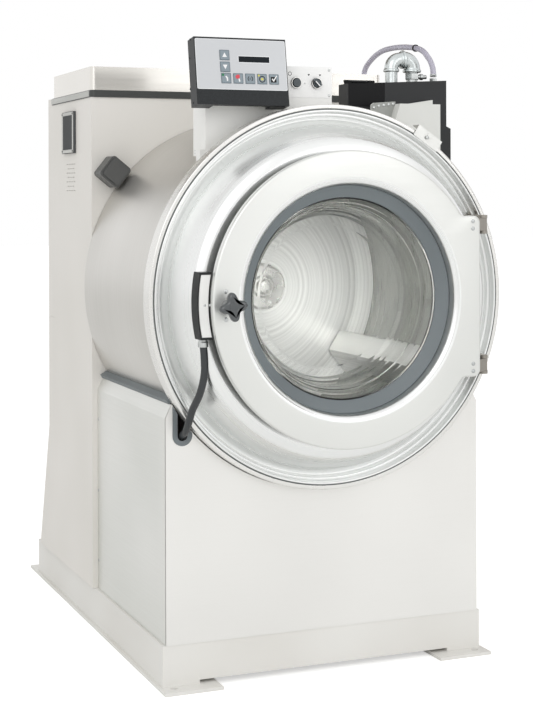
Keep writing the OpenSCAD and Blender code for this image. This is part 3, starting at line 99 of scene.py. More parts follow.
def rounded(points, radii, steps=5):
    """Closed outline with an arc in each corner: the arc's tangent length is radius over the
    tangent of half the corner's angle, at most 0.45 of the shorter side."""
    p = np.asarray(points, float)
    radii = np.broadcast_to(np.asarray(radii, float), len(p))
    back, ahead = np.roll(p, 1, 0) - p, np.roll(p, -1, 0) - p
    lb, la = np.linalg.norm(back, axis=1), np.linalg.norm(ahead, axis=1)
    u, v = back / lb[:, None], ahead / la[:, None]
    half = np.arccos(np.clip((u * v).sum(1), -0.99999, 0.99999)) / 2
    cut = np.minimum(radii / np.tan(half), 0.45 * np.minimum(lb, la))
    radius = cut * np.tan(half)
    mid = u + v
    mid /= np.maximum(np.linalg.norm(mid, axis=1), 1e-9)[:, None]
    centre = p + mid * (radius / np.sin(half))[:, None]
    a, b = p + u * cut[:, None] - centre, p + v * cut[:, None] - centre
    s = np.linspace(0, 1, steps + 1)[None, :, None]
    turn = (math.pi - 2 * half)[:, None, None]
    w = np.sin(turn)
    arc = centre[:, None] + (a[:, None] * np.sin((1 - s) * turn) + b[:, None] * np.sin(s * turn)) / w
    sharp = cut < 1e-6
    arc[sharp] = p[sharp][:, None]
    out = arc.reshape(-1, p.shape[1])
    keep = np.linalg.norm(out - np.roll(out, 1, 0), axis=1) > 1e-5
    return out[keep]


def box_outline(x0, y0, x1, y1, radius):
    """Rectangle between two corners, with round corners."""
    return rounded([(x0, y0), (x1, y0), (x1, y1), (x0, y1)], radius)


def normals(outline):
    """Inward normals of a counter-clockwise outline, from its two neighbours at each point."""
    d = np.roll(outline, -1, 0) - np.roll(outline, 1, 0)
    n = np.stack([-d[:, 1], d[:, 0]], 1)
    return n / np.linalg.norm(n, axis=1)[:, None]


def build(name, body, points, faces, finish, angle=30, slot=None):
    """Mesh object with doubles merged, normals outwards and edges over the angle sharp."""
    mesh = bpy.data.meshes.new(name)
    mesh.from_pydata(place(points).tolist(), [], faces)
    bm = bmesh.new()
    bm.from_mesh(mesh)
    bmesh.ops.remove_doubles(bm, verts=bm.verts, dist=2e-6)
    bmesh.ops.recalc_face_normals(bm, faces=bm.faces)
    bm.to_mesh(mesh)
    bm.free()
    mesh.shade_smooth()
    mesh.set_sharp_from_angle(angle=math.radians(angle))
    mesh.materials.append(finish)
    piece = bpy.data.objects.new(name, mesh)
    bpy.context.scene.collection.objects.link(piece)
    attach(piece, body)
    return piece


def grid_faces(rows, cols, wrap_rows, wrap_cols):
    """Quads of a rows by cols grid of points, closed in either direction where asked."""
    i, j = np.meshgrid(np.arange(rows if wrap_rows else rows - 1),
                       np.arange(cols if wrap_cols else cols - 1), indexing="ij")
    i2, j2 = (i + 1) % rows, (j + 1) % cols
    q = np.stack([i * cols + j, i * cols + j2, i2 * cols + j2, i2 * cols + j], -1)
    return q.reshape(-1, 4).tolist()


def revolve(name, body, profile, finish, axes=FRONT, origin=DRUM, n=180, closed=True, **more):
    """Profile of (radius, along) turned round the third axis: (r cos a, r sin a, along)."""
    p = np.asarray(profile, float)
    a = np.arange(n) * 2 * math.pi / n
    local = np.stack([np.outer(np.cos(a), p[:, 0]), np.outer(np.sin(a), p[:, 0]),
                      np.broadcast_to(p[:, 1], (n, len(p)))], -1)
    faces = grid_faces(n, len(p), True, closed)
    return build(name, body, put(local.reshape(-1, 3), axes, origin), faces, finish, **more)


def prism(name, body, outline, steps, finish, axes=FRONT, origin=(0, 0, 0), **more):
    """Outline carried through steps of (inset, height), each moved along the inward normals, with
    both ends closed by one flat face."""
    o, n = np.asarray(outline, float), normals(np.asarray(outline, float))
    rings = [np.column_stack([o + n * d, np.full(len(o), h)]) for d, h in steps]
    m = len(o)
    faces = grid_faces(len(rings), m, False, True)
    faces += [list(range(m)), list(range((len(rings) - 1) * m, len(rings) * m))]
    return build(name, body, put(np.concatenate(rings), axes, origin), faces, finish, **more)


def rim(name, body, outline, section, finish, axes=FRONT, origin=(0, 0, 0), **more):
    """Closed section of (inset, height) carried round a closed outline."""
    o, n = np.asarray(outline, float), normals(np.asarray(outline, float))
    rings = [np.column_stack([o + n * d, np.full(len(o), h)]) for d, h in section]
    faces = grid_faces(len(rings), len(o), True, True)
    return build(name, body, put(np.concatenate(rings), axes, origin), faces, finish, **more)


def square_to(direction):
    """Rows of three axes, the third along the direction."""
    w = np.asarray(direction, float) / np.linalg.norm(direction)
    u = np.cross((0, 1, 0) if abs(w[1]) < 0.9 else (1, 0, 0), w)
    u /= np.linalg.norm(u)
    return np.array([u, np.cross(w, u), w])


def curve_points(knots, steps):
    """Catmull-Rom curve through the knots, as in the part's source."""
    p = np.asarray(knots, float)
    a, b, c = np.concatenate([p[:1], p[:-2]]), p[:-1], p[1:]
    d = np.concatenate([p[2:], p[-1:]])
    s = (np.arange(steps) / steps)[None, :, None]
    a, b, c, d = a[:, None], b[:, None], c[:, None], d[:, None]
    out = 0.5 * (2 * b + (c - a) * s + (2 * a - 5 * b + 4 * c - d) * s ** 2
                 + (3 * b - a - 3 * c + d) * s ** 3)
    return np.concatenate([out.reshape(-1, 3), p[-1:]])


def tube(name, body, path, radius, finish, sides=24, across=(1.0, 0, 0), **more):
    """Circle of the radius, one value or one per point, carried square to the path. Its first
    normal lies as near as it can to the direction across."""
    p = np.asarray(path, float)
    t = np.gradient(p, axis=0)
    t /= np.linalg.norm(t, axis=1)[:, None]
    u = np.asarray(across, float) - (t @ np.asarray(across, float))[:, None] * t
    u /= np.linalg.norm(u, axis=1)[:, None]
    v = np.cross(t, u)
    a = np.arange(sides) * 2 * math.pi / sides
    r = np.broadcast_to(np.asarray(radius, float), len(p))[:, None, None]
    pts = p[:, None] + r * (np.cos(a)[None, :, None] * u[:, None] + np.sin(a)[None, :, None] * v[:, None])
    faces = grid_faces(len(p), sides, False, True)
    faces += [list(range(sides)), list(range((len(p) - 1) * sides, len(p) * sides))]
    return build(name, body, pts.reshape(-1, 3), faces, finish, **more)


# Finishes

def linear(colour):
    """sRGB hex to linear RGBA: ((c + 0.055) / 1.055) to the power 2.4 above 0.04045."""
    c = np.array([int(colour[i:i + 2], 16) / 255 for i in (1, 3, 5)])
    low, high = c / 12.92, ((c + 0.055) / 1.055) ** 2.4
    return (*np.where(c <= 0.04045, low, high).tolist(), 1.0)


def add(tree, kind, inputs=None, **settings):
    """Adds a node with its settings, and sets or links each input."""
    node = tree.nodes.new("ShaderNode" + kind)
    for key, value in settings.items():
        setattr(node, key, value)
    for key, value in (inputs or {}).items():
        if isinstance(value, bpy.types.NodeSocket):
            tree.links.new(value, node.inputs[key])
        else:
            node.inputs[key].default_value = value
    return node


def material(name, colour, **values):
    """Material with its shader's constants; returns it with its tree and its shader."""
    m = bpy.data.materials.new(name)
    m.use_nodes = True
    shader = m.node_tree.nodes["Principled BSDF"]
    shader.inputs["Base Color"].default_value = linear(colour)
    for key, value in values.items():
        shader.inputs[key.replace("_", " ")].default_value = value
    return m, m.node_tree, shader


def surface_noise(tree, scale, detail=2.0, roughness=0.5):
    """Noise on object coordinates; scale is one number, or one for each axis, per metre."""
    where = add(tree, "TexCoord").outputs["Object"]
    if not np.isscalar(scale):
        where = add(tree, "Mapping", {"Vector": where, "Scale": scale}).outputs[0]
        scale = 1.0
    return add(tree, "TexNoise", {"Vector": where, "Scale": scale, "Detail": detail,
                                  "Roughness": roughness}).outputs[0]


def ring_noise(tree, step_mm):
    """Noise by the distance from the drum's axis: the streaks that a lathe's belt leaves."""
    where = add(tree, "TexCoord").outputs["Object"]
    where = add(tree, "Mapping", {"Vector": where, "Location": (0, 0, -AXIS_Z / 1000), "Scale": (1, 0, 1)})
    away = add(tree, "VectorMath", {0: where.outputs[0]}, operation="LENGTH")
    return add(tree, "TexNoise", {"W": away.outputs["Value"], "Scale": 1000 / step_mm, "Detail": 3.0},
               noise_dimensions="1D").outputs[0]


def spread(tree, value, low, high):
    """Maps the middle of a noise to the span from low to high."""
    return add(tree, "MapRange", {0: value, 1: 0.3, 2: 0.7, 3: low, 4: high}).outputs[0]


def tint(tree, shader, value, dark, light):
    """Base colour between two hex colours by a noise value."""
    mix = add(tree, "Mix", {0: spread(tree, value, 0.0, 1.0), 6: linear(dark), 7: linear(light)},
              data_type="RGBA")
    tree.links.new(mix.outputs[2], shader.inputs["Base Color"])


def bump(tree, shader, value, strength, depth_mm):
    """Small relief on the shader's normal by a noise value."""
    n = add(tree, "Bump", {"Height": value, "Strength": strength, "Distance": depth_mm / 1000})
    tree.links.new(n.outputs[0], shader.inputs["Normal"])


def brushed(name, dark, light, grain, low, high, depth=0.02, metal=1.0):
    """Brushed sheet: fine lines along one way, drawn about 3 mm apart because the real 0.3 mm
    lines are too fine to show. grain is the noise scale per metre on each axis."""
    m, tree, shader = material(name, light, Metallic=metal)
    lines = surface_noise(tree, grain, 3.0, 0.6)
    tint(tree, shader, surface_noise(tree, 2.5, 1.0), dark, light)
    tree.links.new(spread(tree, lines, low, high), shader.inputs["Roughness"])
    bump(tree, shader, lines, 0.25, depth)
    return m


def spun(name, dark, light, low, high, step_mm, depth, metal=1.0):
    """Spun and polished sheet: streaks round the drum's axis."""
    m, tree, shader = material(name, light, Metallic=metal)
    lines = ring_noise(tree, step_mm)
    tint(tree, shader, lines, dark, light)
    tree.links.new(spread(tree, lines, low, high), shader.inputs["Roughness"])
    bump(tree, shader, lines, 0.2, depth)
    return m


def coated(name, dark, light, rough, grit_mm, depth, gloss=0.5):
    """Powder coat or moulded plastic: a faint change of colour and an orange-peel grit."""
    m, tree, shader = material(name, light, Roughness=rough, Specular_IOR_Level=gloss)
    tint(tree, shader, surface_noise(tree, 3.0, 1.0), dark, light)
    grit = surface_noise(tree, 1000 / grit_mm, 2.0, 0.6)
    bump(tree, shader, grit, 0.35, depth)
    return m


def speckled(name, dark, light, rough, grit_mm, depth, gloss):
    """Textured plastic or paint: its colour is lighter on the grit's raised points, painted glints where the
    grit would catch the light.
    """
    m, tree, shader = material(name, light, Roughness=rough, Specular_IOR_Level=gloss)
    grit = surface_noise(tree, 1000 / grit_mm, 2.0, 0.6)
    tint(tree, shader, grit, dark, light)
    bump(tree, shader, grit, 0.4, depth)
    return m


# Lower front panel: what the eye gets is a broad soft sheen with lines across
STEEL_PANEL = brushed("brushed_stainless_sheet", "#e8e7e4", "#efeeeb", (6, 6, 330), 0.34, 0.48, metal=0.8)
# Side sheets: the same steel, duller and darker in colour: the darker colour is painted shade of the faces
# turned to the side
STEEL_SIDE = brushed("brushed_stainless_side_painted_shade", "#dddeda", "#e7e7e4", (6, 6, 330), 0.36, 0.5, metal=0.8)
# Door sheet: the brightest face, satin with lines across
STEEL_DOOR = brushed("brushed_stainless_door", "#e0e1de", "#e6e7e4", (6, 6, 330), 0.3, 0.42, metal=0.85)
# Shell: rolled sheet, with long lines round the tub
STEEL_SHELL = brushed("rolled_stainless_shell", "#cbc9c4", "#dad8d4", (5, 330, 5), 0.28, 0.42, metal=0.9)
# Basket's wall: rolled steel in a dark colour, which stands partly for its perforations and is partly painted
# shade of the basket's inside, beside the lit rear head
DRUM_WALL = brushed("drum_wall_holes_and_painted_shade", "#8e8f8b", "#a2a39f", (5, 200, 5), 0.25, 0.35, metal=0.9)
# Basket's rear head and lifters: pale pickled steel with circular streaks
STEEL_DRUM = spun("pickled_stainless_drum", "#e2e2df", "#fafaf8", 0.3, 0.44, 9.0, 0.02, metal=0.4)
# Head: spun dish, the most mirror-like piece, with streaks round the door
STEEL_HEAD = spun("polished_stainless_head", "#ecedec", "#f0f1f0", 0.26, 0.32, 8.0, 0.003)
# Clamp ring, hub and button rings: bright annealed band
STEEL_RING = brushed("bright_stainless_ring", "#e3e2df", "#ebeae7", (20, 20, 20), 0.24, 0.32, metal=0.8)
# Screws, nuts and clamps: small cool glints
ZINC = brushed("zinc_plated_steel", "#b9bcbc", "#d3d5d4", (60, 60, 60), 0.25, 0.4)
# Galvanised malleable fittings: cloudy grey with a cast skin
IRON = brushed("galvanised_iron", "#c2c8c8", "#e4e8e8", (80, 80, 80), 0.24, 0.38, 0.12)
# Pulleys and latch cam: plain machined steel, darker than the sheets
DRIVE = brushed("machined_steel", "#8c8f90", "#a9acac", (60, 60, 60), 0.3, 0.45)
# Inlet valves: warm yellow spot at the back
BRASS = brushed("yellow_brass", "#a98a45", "#c2a45c", (60, 60, 60), 0.3, 0.45)
# Bracket on the clamp ring: pale plating without a mirror in it
BRACKET = brushed("bright_plated_bracket", "#dedfdc", "#e8e8e5", (40, 40, 40), 0.3, 0.4, metal=0.5)
# Hinge blocks: dull steel in a dark taupe colour, a painted reflection of the head's dim tone beside the
# door, so that they step back beside the bright door
HINGE = brushed("hinge_steel_painted_reflection", "#98938b", "#a6a19a", (40, 40, 40), 0.35, 0.5, metal=0.6)
# Trim strip and filter frame: even satin grey
ALUMINIUM = brushed("anodised_aluminium", "#b4b5b1", "#c6c6c2", (6, 6, 200), 0.35, 0.5, metal=0.5)
# Drive cabinet: warm off-white powder coat with a fine orange peel
CABINET = coated("powder_coated_cabinet", "#e2dfd9", "#e9e6e1", 0.48, 2.4, 0.05)
# Cabinet's cap: satin sheet whose top takes a soft band of light
CAP = brushed("satin_cabinet_cap", "#e6e3dd", "#ece9e4", (3, 3, 60), 0.16, 0.22, 0.004, metal=0.6)
# Base frame: the same paint, a shade cooler and rougher
BASE = coated("powder_coated_base", "#e3e1dc", "#ebeae6", 0.45, 2.4, 0.06)
# Column: white enamel, even and slightly glossy
ENAMEL = coated("white_enamel_column", "#f3f3f0", "#f8f8f6", 0.35, 3.0, 0.03)
# Switch plate: the whitest face of the column
PLATE = coated("white_switch_plate", "#f8f8f7", "#fcfcfb", 0.35, 3.0, 0.02)
# Supply chute: matt galvanised sheet
CHUTE = coated("dull_galvanised_chute", "#dadbd7", "#e3e4e0", 0.45, 4.0, 0.04)
# Flange beside the chute: flat mid grey behind its bolts
FLANGE_GREY = coated("grey_zinc_flange", "#9b9d99", "#a8aaa6", 0.5, 3.0, 0.05)
# Motor and bearing housing: slate enamel, seen only through gaps
MOTOR = coated("motor_enamel", "#3c464e", "#4b565e", 0.45, 3.0, 0.1)
# Dark strip under the cap: a matt line round the cabinet
TRIM = coated("dark_trim_strip", "#393b3a", "#434544", 0.4, 3.0, 0.03, 0.4)
# Controller's housing: textured ABS, with painted glints on its grit
BLACK = speckled("black_textured_abs", "#101315", "#23272a", 0.42, 2.6, 0.25, 0.35)
# Moulded nylon parts: even black with a dull sheen
PLAIN_BLACK = coated("black_moulded_nylon", "#17191a", "#1f2122", 0.45, 2.0, 0.05, 0.35)
# Vibration switch: dark grey moulded case
SWITCH_GREY = coated("grey_abs_switch", "#4c4d4c", "#565756", 0.4, 2.2, 0.06, 0.5)
# Push button and selector: slate caps inside bright rings
BUTTON = coated("slate_button_cap", "#4c5357", "#565d61", 0.4, 2.0, 0.02, 0.4)
# Injector box: grey-black moulded body
CHARCOAL = coated("charcoal_fibreglass", "#272829", "#2f3032", 0.5, 2.2, 0.1, 0.35)
# Injector lid: the deepest black at the top right
LID = coated("black_abs_lid", "#0e0e10", "#151517", 0.5, 2.2, 0.06, 0.2)
# Lock's cover plate: smooth white strip in its black frame
WHITE = coated("white_acetal", "#ebebe8", "#f4f4f2", 0.35, 3.0, 0.02)
# Keypad's overlay: cool pale grey film
OVERLAY = coated("polyester_overlay", "#cdcfd2", "#d4d6d9", 0.35, 2.0, 0.02)
# Film's edge and display's rim: a thin light line
OVERLAY_EDGE = coated("clear_overlay_edge", "#eceef0", "#f4f6f8", 0.3, 2.0, 0.02)
# Keys: soft blue-grey squares
KEY = coated("grey_silicone_key", "#8a969e", "#95a1a8", 0.5, 1.5, 0.03)
# Outline of each key: a darker slate line
KEY_EDGE = coated("slate_key_edge", "#6c7880", "#76828a", 0.5, 1.5, 0.03)
# Signs printed on the keys: five plain inks, each flat and matt
MARK_WHITE = coated("white_screen_ink", "#f2f2f2", "#fafafa", 0.5, 1.0, 0.01)
MARK_BLACK = coated("black_screen_ink", "#1c1f21", "#26292b", 0.5, 1.0, 0.01, 0.3)
MARK_RED = coated("red_screen_ink", "#dd4a55", "#e85b64", 0.5, 1.0, 0.01)
MARK_GREEN = coated("green_screen_ink", "#1f7a4d", "#2a8a5a", 0.5, 1.0, 0.01)
MARK_YELLOW = coated("yellow_screen_ink", "#d9cf55", "#e8df6c", 0.5, 1.0, 0.01)
# Window and panel gaskets: slate rubber, the grey ring round the glass
GREY_RUBBER = coated("slate_epdm_gasket", "#686f72", "#767d80", 0.5, 2.5, 0.05)
# Belts: matt black
DARK_RUBBER = coated("black_epdm_belt", "#1b1c1c", "#2a2b2b", 0.55, 2.5, 0.05, 0.35)
# Seal between ring and head: a thin grey line
SEAL = coated("grey_epdm_ring_seal", "#5c6060", "#6a6e6e", 0.5, 2.5, 0.05)
# Lock's conduit: dark vinyl with a long soft highlight
CONDUIT = coated("grey_pvc_conduit", "#2b2d2f", "#373a3c", 0.3, 2.5, 0.03)
# Star knob: glossy phenolic with sharp small highlights
KNOB = coated("phenolic_star_knob", "#383c3e", "#474b4d", 0.18, 3.0, 0.02, 1.0)
# Fan filter: open foam, rough enough to lose its shine
FILTER = coated("fan_filter_foam", "#4a4c4d", "#626465", 0.9, 2.0, 0.8)


def clear(name, colour, **values):
    """Clear solid with faint drawing waves; the lamps' light passes it without being bent."""
    m, tree, shader = material(name, colour, **values)
    bump(tree, shader, surface_noise(tree, 9.0, 1.0), 0.05, 0.2)
    path = add(tree, "LightPath")
    passing = add(tree, "Math", {0: 1.0, 1: path.outputs["Is Shadow Ray"]}, operation="SUBTRACT")
    tree.links.new(passing.outputs[0], shader.inputs["Alpha"])
    return m


# Door's bowl: clear glass that bends what lies in the drum
GLASS = clear("borosilicate_bowl", "#fbfcfa", Roughness=0.01, IOR=1.47, Transmission_Weight=1.0)
# Breather hose: milky clear vinyl
HOSE = clear("clear_pvc_hose", "#c9c6d3", Roughness=0.2, IOR=1.4, Transmission_Weight=0.35)
# Display: near-black window with a faint blue
DISPLAY = coated("lcd_window", "#040f17", "#081821", 0.2, 2.0, 0.005, 0.15)

NODE_FINISH = {
    STEEL_PANEL: ["front_panel"],
    STEEL_SIDE: ["side_panel_left", "side_panel_right"],
    HINGE: ["hinge_arms", "hinge_bracket"],
    BRACKET: ["ring_bracket"],
    STEEL_SHELL: ["outer_shell"],
    STEEL_DRUM: ["lifters", "drum_shaft", "shaft_bearings"],
    DRIVE: ["driven_pulley", "motor_pulley", "latch_cam"],
    CABINET: ["cabinet", "upper_rear_cover", "lower_rear_cover"],
    CAP: ["cabinet_cap"],
    BASE: ["base_frame"],
    ENAMEL: ["control_column"],
    PLATE: ["switch_plate"],
    CHUTE: ["injector_chute"],
    MOTOR: ["drive_motor", "bearing_housing"],
    TRIM: ["cap_trim"],
    FILTER: ["fan_filter"],
    BLACK: ["control_box"],
    SWITCH_GREY: ["vibration_switch"],
    PLAIN_BLACK: ["lock_housing", "switch_bezels", "cable_gland", "drain_valve"],
    BUTTON: ["push_button", "selector_switch"],
    CHARCOAL: ["injector_box"],
    LID: ["injector_lid"],
    WHITE: ["lock_plate"],
    OVERLAY: ["keypad_overlay"],
    KEY: ["key_up", "key_down", "key_start", "key_stop", "key_signal", "key_manual", "key_enter"],
    DISPLAY: ["display_window"],
    GREY_RUBBER: ["conduit_grommet", "side_gaskets"],
    DARK_RUBBER: ["drive_belts"],
    SEAL: ["ring_seal"],
    BRASS: ["inlet_valves"],
}
for finish, names in NODE_FINISH.items():
    for node_name in names:
        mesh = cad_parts[node_name].data
        mesh.materials.clear()
        mesh.materials.append(finish)


# Front head, clamp ring and seal

def head():
    """Dished head as one closed sheet section turned round the drum axis: rim groove, steep
    dish, round crown, flat band under the door's rim, mouth."""
    section = rounded(
        [(458, 5), (458, 36), (453, 36), (451, 15), (449.5, 18.5), (444, 18.5), (441.5, 8), (437.5, 0.4),
         (431, 9), (391, 86), (384, 97), (365, 104), (346, 104), (304, 103.5), (284, 98), (282, 62),
         (285, 62), (286.5, 95.5), (304, 100), (345, 100.5), (364, 100.5), (381.5, 94.5), (388, 84),
         (429, 6), (436.5, -2.5), (446, 5)],
        [0.5, 2.4, 2.4, 1.5, 1.5, 3, 2, 3, 4, 16, 20, 30, 30, 8, 7, 1, 1, 4, 8, 30, 30, 20, 16, 3, 2, 1], 8)
    piece = revolve("head_dish", "machine", section, STEEL_HEAD, n=360, slot="polished_head")
    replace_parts(piece, "front_head")


def ring():
    """Clamp ring with a row of fine ribs: radius 471.4 less up to 0.12 by the cosine of
    the rib's phase, 6 mm apart, on the outer band."""
    section = rounded([(457.6, -10), (471.4, -10), (471.4, 34), (461, 34), (461, 31), (468.4, 31),
                       (468.4, -7), (457.6, -7)], [1, 2, 3.2, 1, 1, 2, 2, 1], 4)
    n = RIBS * 5
    a = np.arange(n) * 2 * math.pi / n
    r = np.broadcast_to(section[:, 0], (n, len(section))).copy()
    band = (section[:, 0] > 471.3) & (section[:, 1] > -9) & (section[:, 1] < 32)
    r[:, band] -= (0.06 - 0.06 * np.cos(RIBS * a))[:, None]
    local = np.stack([np.cos(a)[:, None] * r, np.sin(a)[:, None] * r,
                      np.broadcast_to(section[:, 1], r.shape)], -1)
    piece = build("ring_band", "machine", put(local.reshape(-1, 3), FRONT, DRUM),
                  grid_faces(n, len(section), True, True), STEEL_RING, slot="polished_head")
    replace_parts(piece, "clamp_ring")
    screw("ring_bracket_bolt", "machine", (259.3, -42.2, 1315.6), 4.6, 2.2)


# Door

def door_outline():
    """Disc of radius 356 joined to the hinge flange, 198 either way and out to 346, with round
    outer corners and small hollows where the flange leaves the disc."""
    edge = math.degrees(math.asin(198 / 356))
    a = np.radians(np.arange(edge + 4, 356 - edge + 0.1, 2.0))
    disc = np.stack([356 * np.cos(a), 356 * np.sin(a)], 1)
    corner = math.sqrt(356 ** 2 - 198 ** 2)
    pts = np.concatenate([[(346, -198), (346, 198), (corner, 198)], disc, [(corner, -198)]])
    radii = np.concatenate([[18, 18, 16], np.zeros(len(disc)), [16]])
    return fine(rounded(pts, radii, 6), 12)


def fine(outline, step):
    """Closed outline with points added so that none of its sides is longer than the step."""
    ahead = np.roll(outline, -1, 0) - outline
    parts = np.maximum(np.ceil(np.linalg.norm(ahead, axis=1) / step), 1).astype(int)
    start = np.repeat(np.arange(len(outline)), parts)
    share = (np.arange(parts.sum()) - np.repeat(np.cumsum(parts) - parts, parts)) / parts[start]
    return outline[start] + ahead[start] * share[:, None]


def door_pan():
    """Pan of 3 mm sheet: rows of the outline moved inwards, then rows on circles at the same
    polar angles, front face first and back face after it. The window's rolled lip is turned as
    a ring of its own, which meets the sheet at radius 292."""
    o = door_outline()
    n = normals(o)
    polar = o / np.linalg.norm(o, axis=1)[:, None]
    t = np.linspace(0, math.pi / 2, 6)
    rows = [(3.0, 134.0), (0.3, 134.0), (0.0, 134.5), (0.0, 140.0), (0.9, 141.2), (0.0, 142.4)]
    rows += [(5 - 5 * math.cos(a), 148 + 5 * math.sin(a)) for a in t]
    rings = [(292, 153), (292, 150)]
    back = [(6.0, 150.0), (3.0, 147.0)]
    grid = [np.column_stack([o + n * d, np.full(len(o), f)]) for d, f in rows]
    grid += [np.column_stack([polar * r, np.full(len(o), f)]) for r, f in rings]
    grid += [np.column_stack([o + n * d, np.full(len(o), f)]) for d, f in back]
    piece = build("door_pan", "door", put(np.concatenate(grid), FRONT, DRUM),
                  grid_faces(len(grid), len(o), True, True), STEEL_DOOR, slot="brushed_panel")
    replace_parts(piece, "door_panel")
    lip = [(292 - 17 * math.sin(a), 140 + 13 * math.cos(a)) for a in np.linspace(0, 1.5, 9)]
    lip += [(274.4, 124), (277.4, 124)]
    lip += [(292 - 14 * math.sin(a), 140 + 10 * math.cos(a)) for a in np.linspace(1.5, 0, 7)]
    revolve("window_lip", "door", lip, STEEL_HEAD, slot="brushed_panel")


def screw(name, body, at, radius, height, finish=ZINC, axes=FRONT):
    """Pan-head screw: a low dome with a rounded rim."""
    a = np.linspace(0, math.pi / 2, 6)
    profile = [(radius * math.cos(t), height * math.sin(t) ** 0.8) for t in a]
    revolve(name, body, [(radius, -0.5)] + profile, finish, axes=axes, origin=at, n=20,
            closed=False, angle=50)


def door():
    """Pan, window gasket, and the blown bowl as one closed section of outer and inner face."""
    door_pan()
    section = rounded([(273.6, 125), (270, 126.5), (244, 108), (243.5, 105), (247, 104.8), (250, 99),
                       (262, 104.3), (294.5, 104.3), (294.5, 110), (281, 137.4), (278.4, 137.4),
                       (278.4, 123.2), (273.6, 123.2)], [1, 4, 2, 1, 1, 1, 3, 2, 3, 1, 0.5, 0.5, 0.3])
    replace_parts(revolve("window_gasket", "door", section, GREY_RUBBER, slot="grey_rubber"), "door_gasket")
    outer = [(246, 104), (246, 98), (236, 84), (228, 68), (224, 44), (221.5, 20), (216, 2), (205, -7),
             (180, -11.5), (90, -13.4), (0, -14)]
    inner = [(0, -8), (90, -7.5), (176, -5.8), (200, -2), (210.5, 6), (215.5, 21), (218, 44), (222, 70),
             (230, 87), (239.5, 100), (240, 104)]
    outer_radii = [0.6, 2, 20, 20, 20, 14, 14, 14, 30, 0, 0]
    inner_radii = [0, 0, 26, 10, 10, 10, 14, 14, 14, 2, 0.6]
    section = rounded(outer + inner, outer_radii + inner_radii, 8)
    section[:, 0] = np.maximum(section[:, 0], 0)
    bowl = revolve("glass_bowl", "door", section, GLASS, n=360, slot="window_glass")
    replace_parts(bowl, "door_glass")
    for k, (x, z) in enumerate([(325, 184), (325, 166), (325, -184), (325, -166)]):
        screw("flange_screw_%d" % k, "door", (x, -DOOR_FACE, AXIS_Z + z), 5.2, 2.4)
    for k, z in enumerate([951.3, 886.7]):
        screw("latch_screw_%d" % k, "door", (-324, -DOOR_FACE, z), 5.6, 2.6)
    for k, x in enumerate([-368.4, -355.6]):
        screw("lock_screw_%d" % k, "machine", (x, -133, 919.4), 3.2, 1.2)


def knob():
    """Star knob: polar outline 27.2 + 6.8 cos(4 a), with rounded rims, neck, spindle and cap."""
    a = np.arange(96) * 2 * math.pi / 96
    r = 27.2 + 6.8 * np.cos(4 * (a - math.radians(9)))
    outline = np.stack([r * np.cos(a), r * np.sin(a)], 1)
    at = (-322, 0, 918)
    steps = [(5, 187), (1.6, 188.4), (0, 191.5), (0, 197), (0.7, 200), (2.4, 202.6), (5, 204.3), (9, 205)]
    piece = prism("knob_star", "knob", outline, steps, KNOB, origin=at, slot="black_plastic")
    neck = rounded([(0, 116.5), (8, 116.5), (8, 153.5), (14, 153.5), (14, 183), (17, 187.5), (0, 187.5)],
                   [0, 0.5, 0.2, 1, 4, 1, 0])
    revolve("knob_neck", "knob", neck, KNOB, origin=at, n=48)
    cap = rounded([(0, 204.5), (12, 204.5), (12, 206), (10.5, 206.4), (9.5, 205.8), (0, 206.4)],
                  [0, 0, 0.5, 0.5, 0.8, 0])
    revolve("knob_cap", "knob", cap, KNOB, origin=at, n=48)
    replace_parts(piece, "star_knob")


# Lock conduit and hose

CONDUIT_KNOTS = [(-364.5, -110, 829.2), (-361.5, -109, 799.5), (-358.5, -101, 757.5), (-363.5, -86, 711.5),
                 (-372.5, -60, 671.5), (-378.5, -50, 641.5), (-379.5, -28, 614.5), (-378.5, 0, 601.5),
                 (-372.5, 34, 584.5), (-342.5, 60, 561.5), (-306, 74.4, 547.5), (-290, 88.4, 541.5),
                 (-290, 96.4, 541.5), (-290, 103.4, 541.5)]
HOSE_KNOTS = [(417, 640, 1523.3), (417, 640, 1528), (417, 640, 1536), (417, 620, 1555), (417, 565, 1578),
              (417, 500, 1589), (417, 396, 1587), (417, 293, 1571.7), (417, 245, 1544.7), (417, 223, 1520.7),
              (417, 217, 1501.7), (417, 217, 1490)]


def conduit():
    """Round tube along its knots, with a round nut at either end."""
    path = curve_points(CONDUIT_KNOTS, 10)
    piece = tube("conduit_tube", "machine", path, 8.8, CONDUIT, slot="black_plastic")
    nut = rounded([(0, -8), (12, -8), (12, 3), (10.5, 6), (10.5, 10), (0, 10)], [0, 1.5, 1, 1, 1, 0])
    revolve("conduit_nut", "machine", nut, ZINC, axes=TOP, origin=(-364.5, -110, 829.2), n=48)
    nut = rounded([(0, 0), (12, 0), (12, 11), (0, 11)], [0, 1.5, 1.5, 0])
    revolve("conduit_end_nut", "machine", nut, ZINC, origin=(-290, 103.7, 541.5), n=48)
    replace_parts(piece, "lock_conduit")


def hose():
    """Clear tube along its knots, with its tie and the clamp at the barb."""
    path = curve_points(HOSE_KNOTS, 10)
    piece = tube("hose_tube", "machine", path, 7.6, HOSE, slot="clear_hose")
    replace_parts(piece, "breather_hose")
    tie = rounded([(7.7, -2.6), (10, -2.6), (10, 2.6), (7.7, 2.6)], 0.5, 3)
    revolve("cable_tie", "machine", tie, PLAIN_BLACK, axes=square_to((0, -42, -4.7)),
            origin=(417, 318, 1577.2), n=48)
    clamp = rounded([(7.7, -4), (8.8, -4), (8.8, 4), (7.7, 4)], 0.4, 3)
    revolve("hose_clamp", "machine", clamp, ZINC, axes=TOP, origin=(417, 217, 1494), n=48)
    revolve("clamp_screw", "machine", [(0, -5), (3.4, -5), (3.4, 5), (0, 5)], ZINC,
            axes=RIGHT, origin=(412, 207.5, 1494), n=6, closed=False)


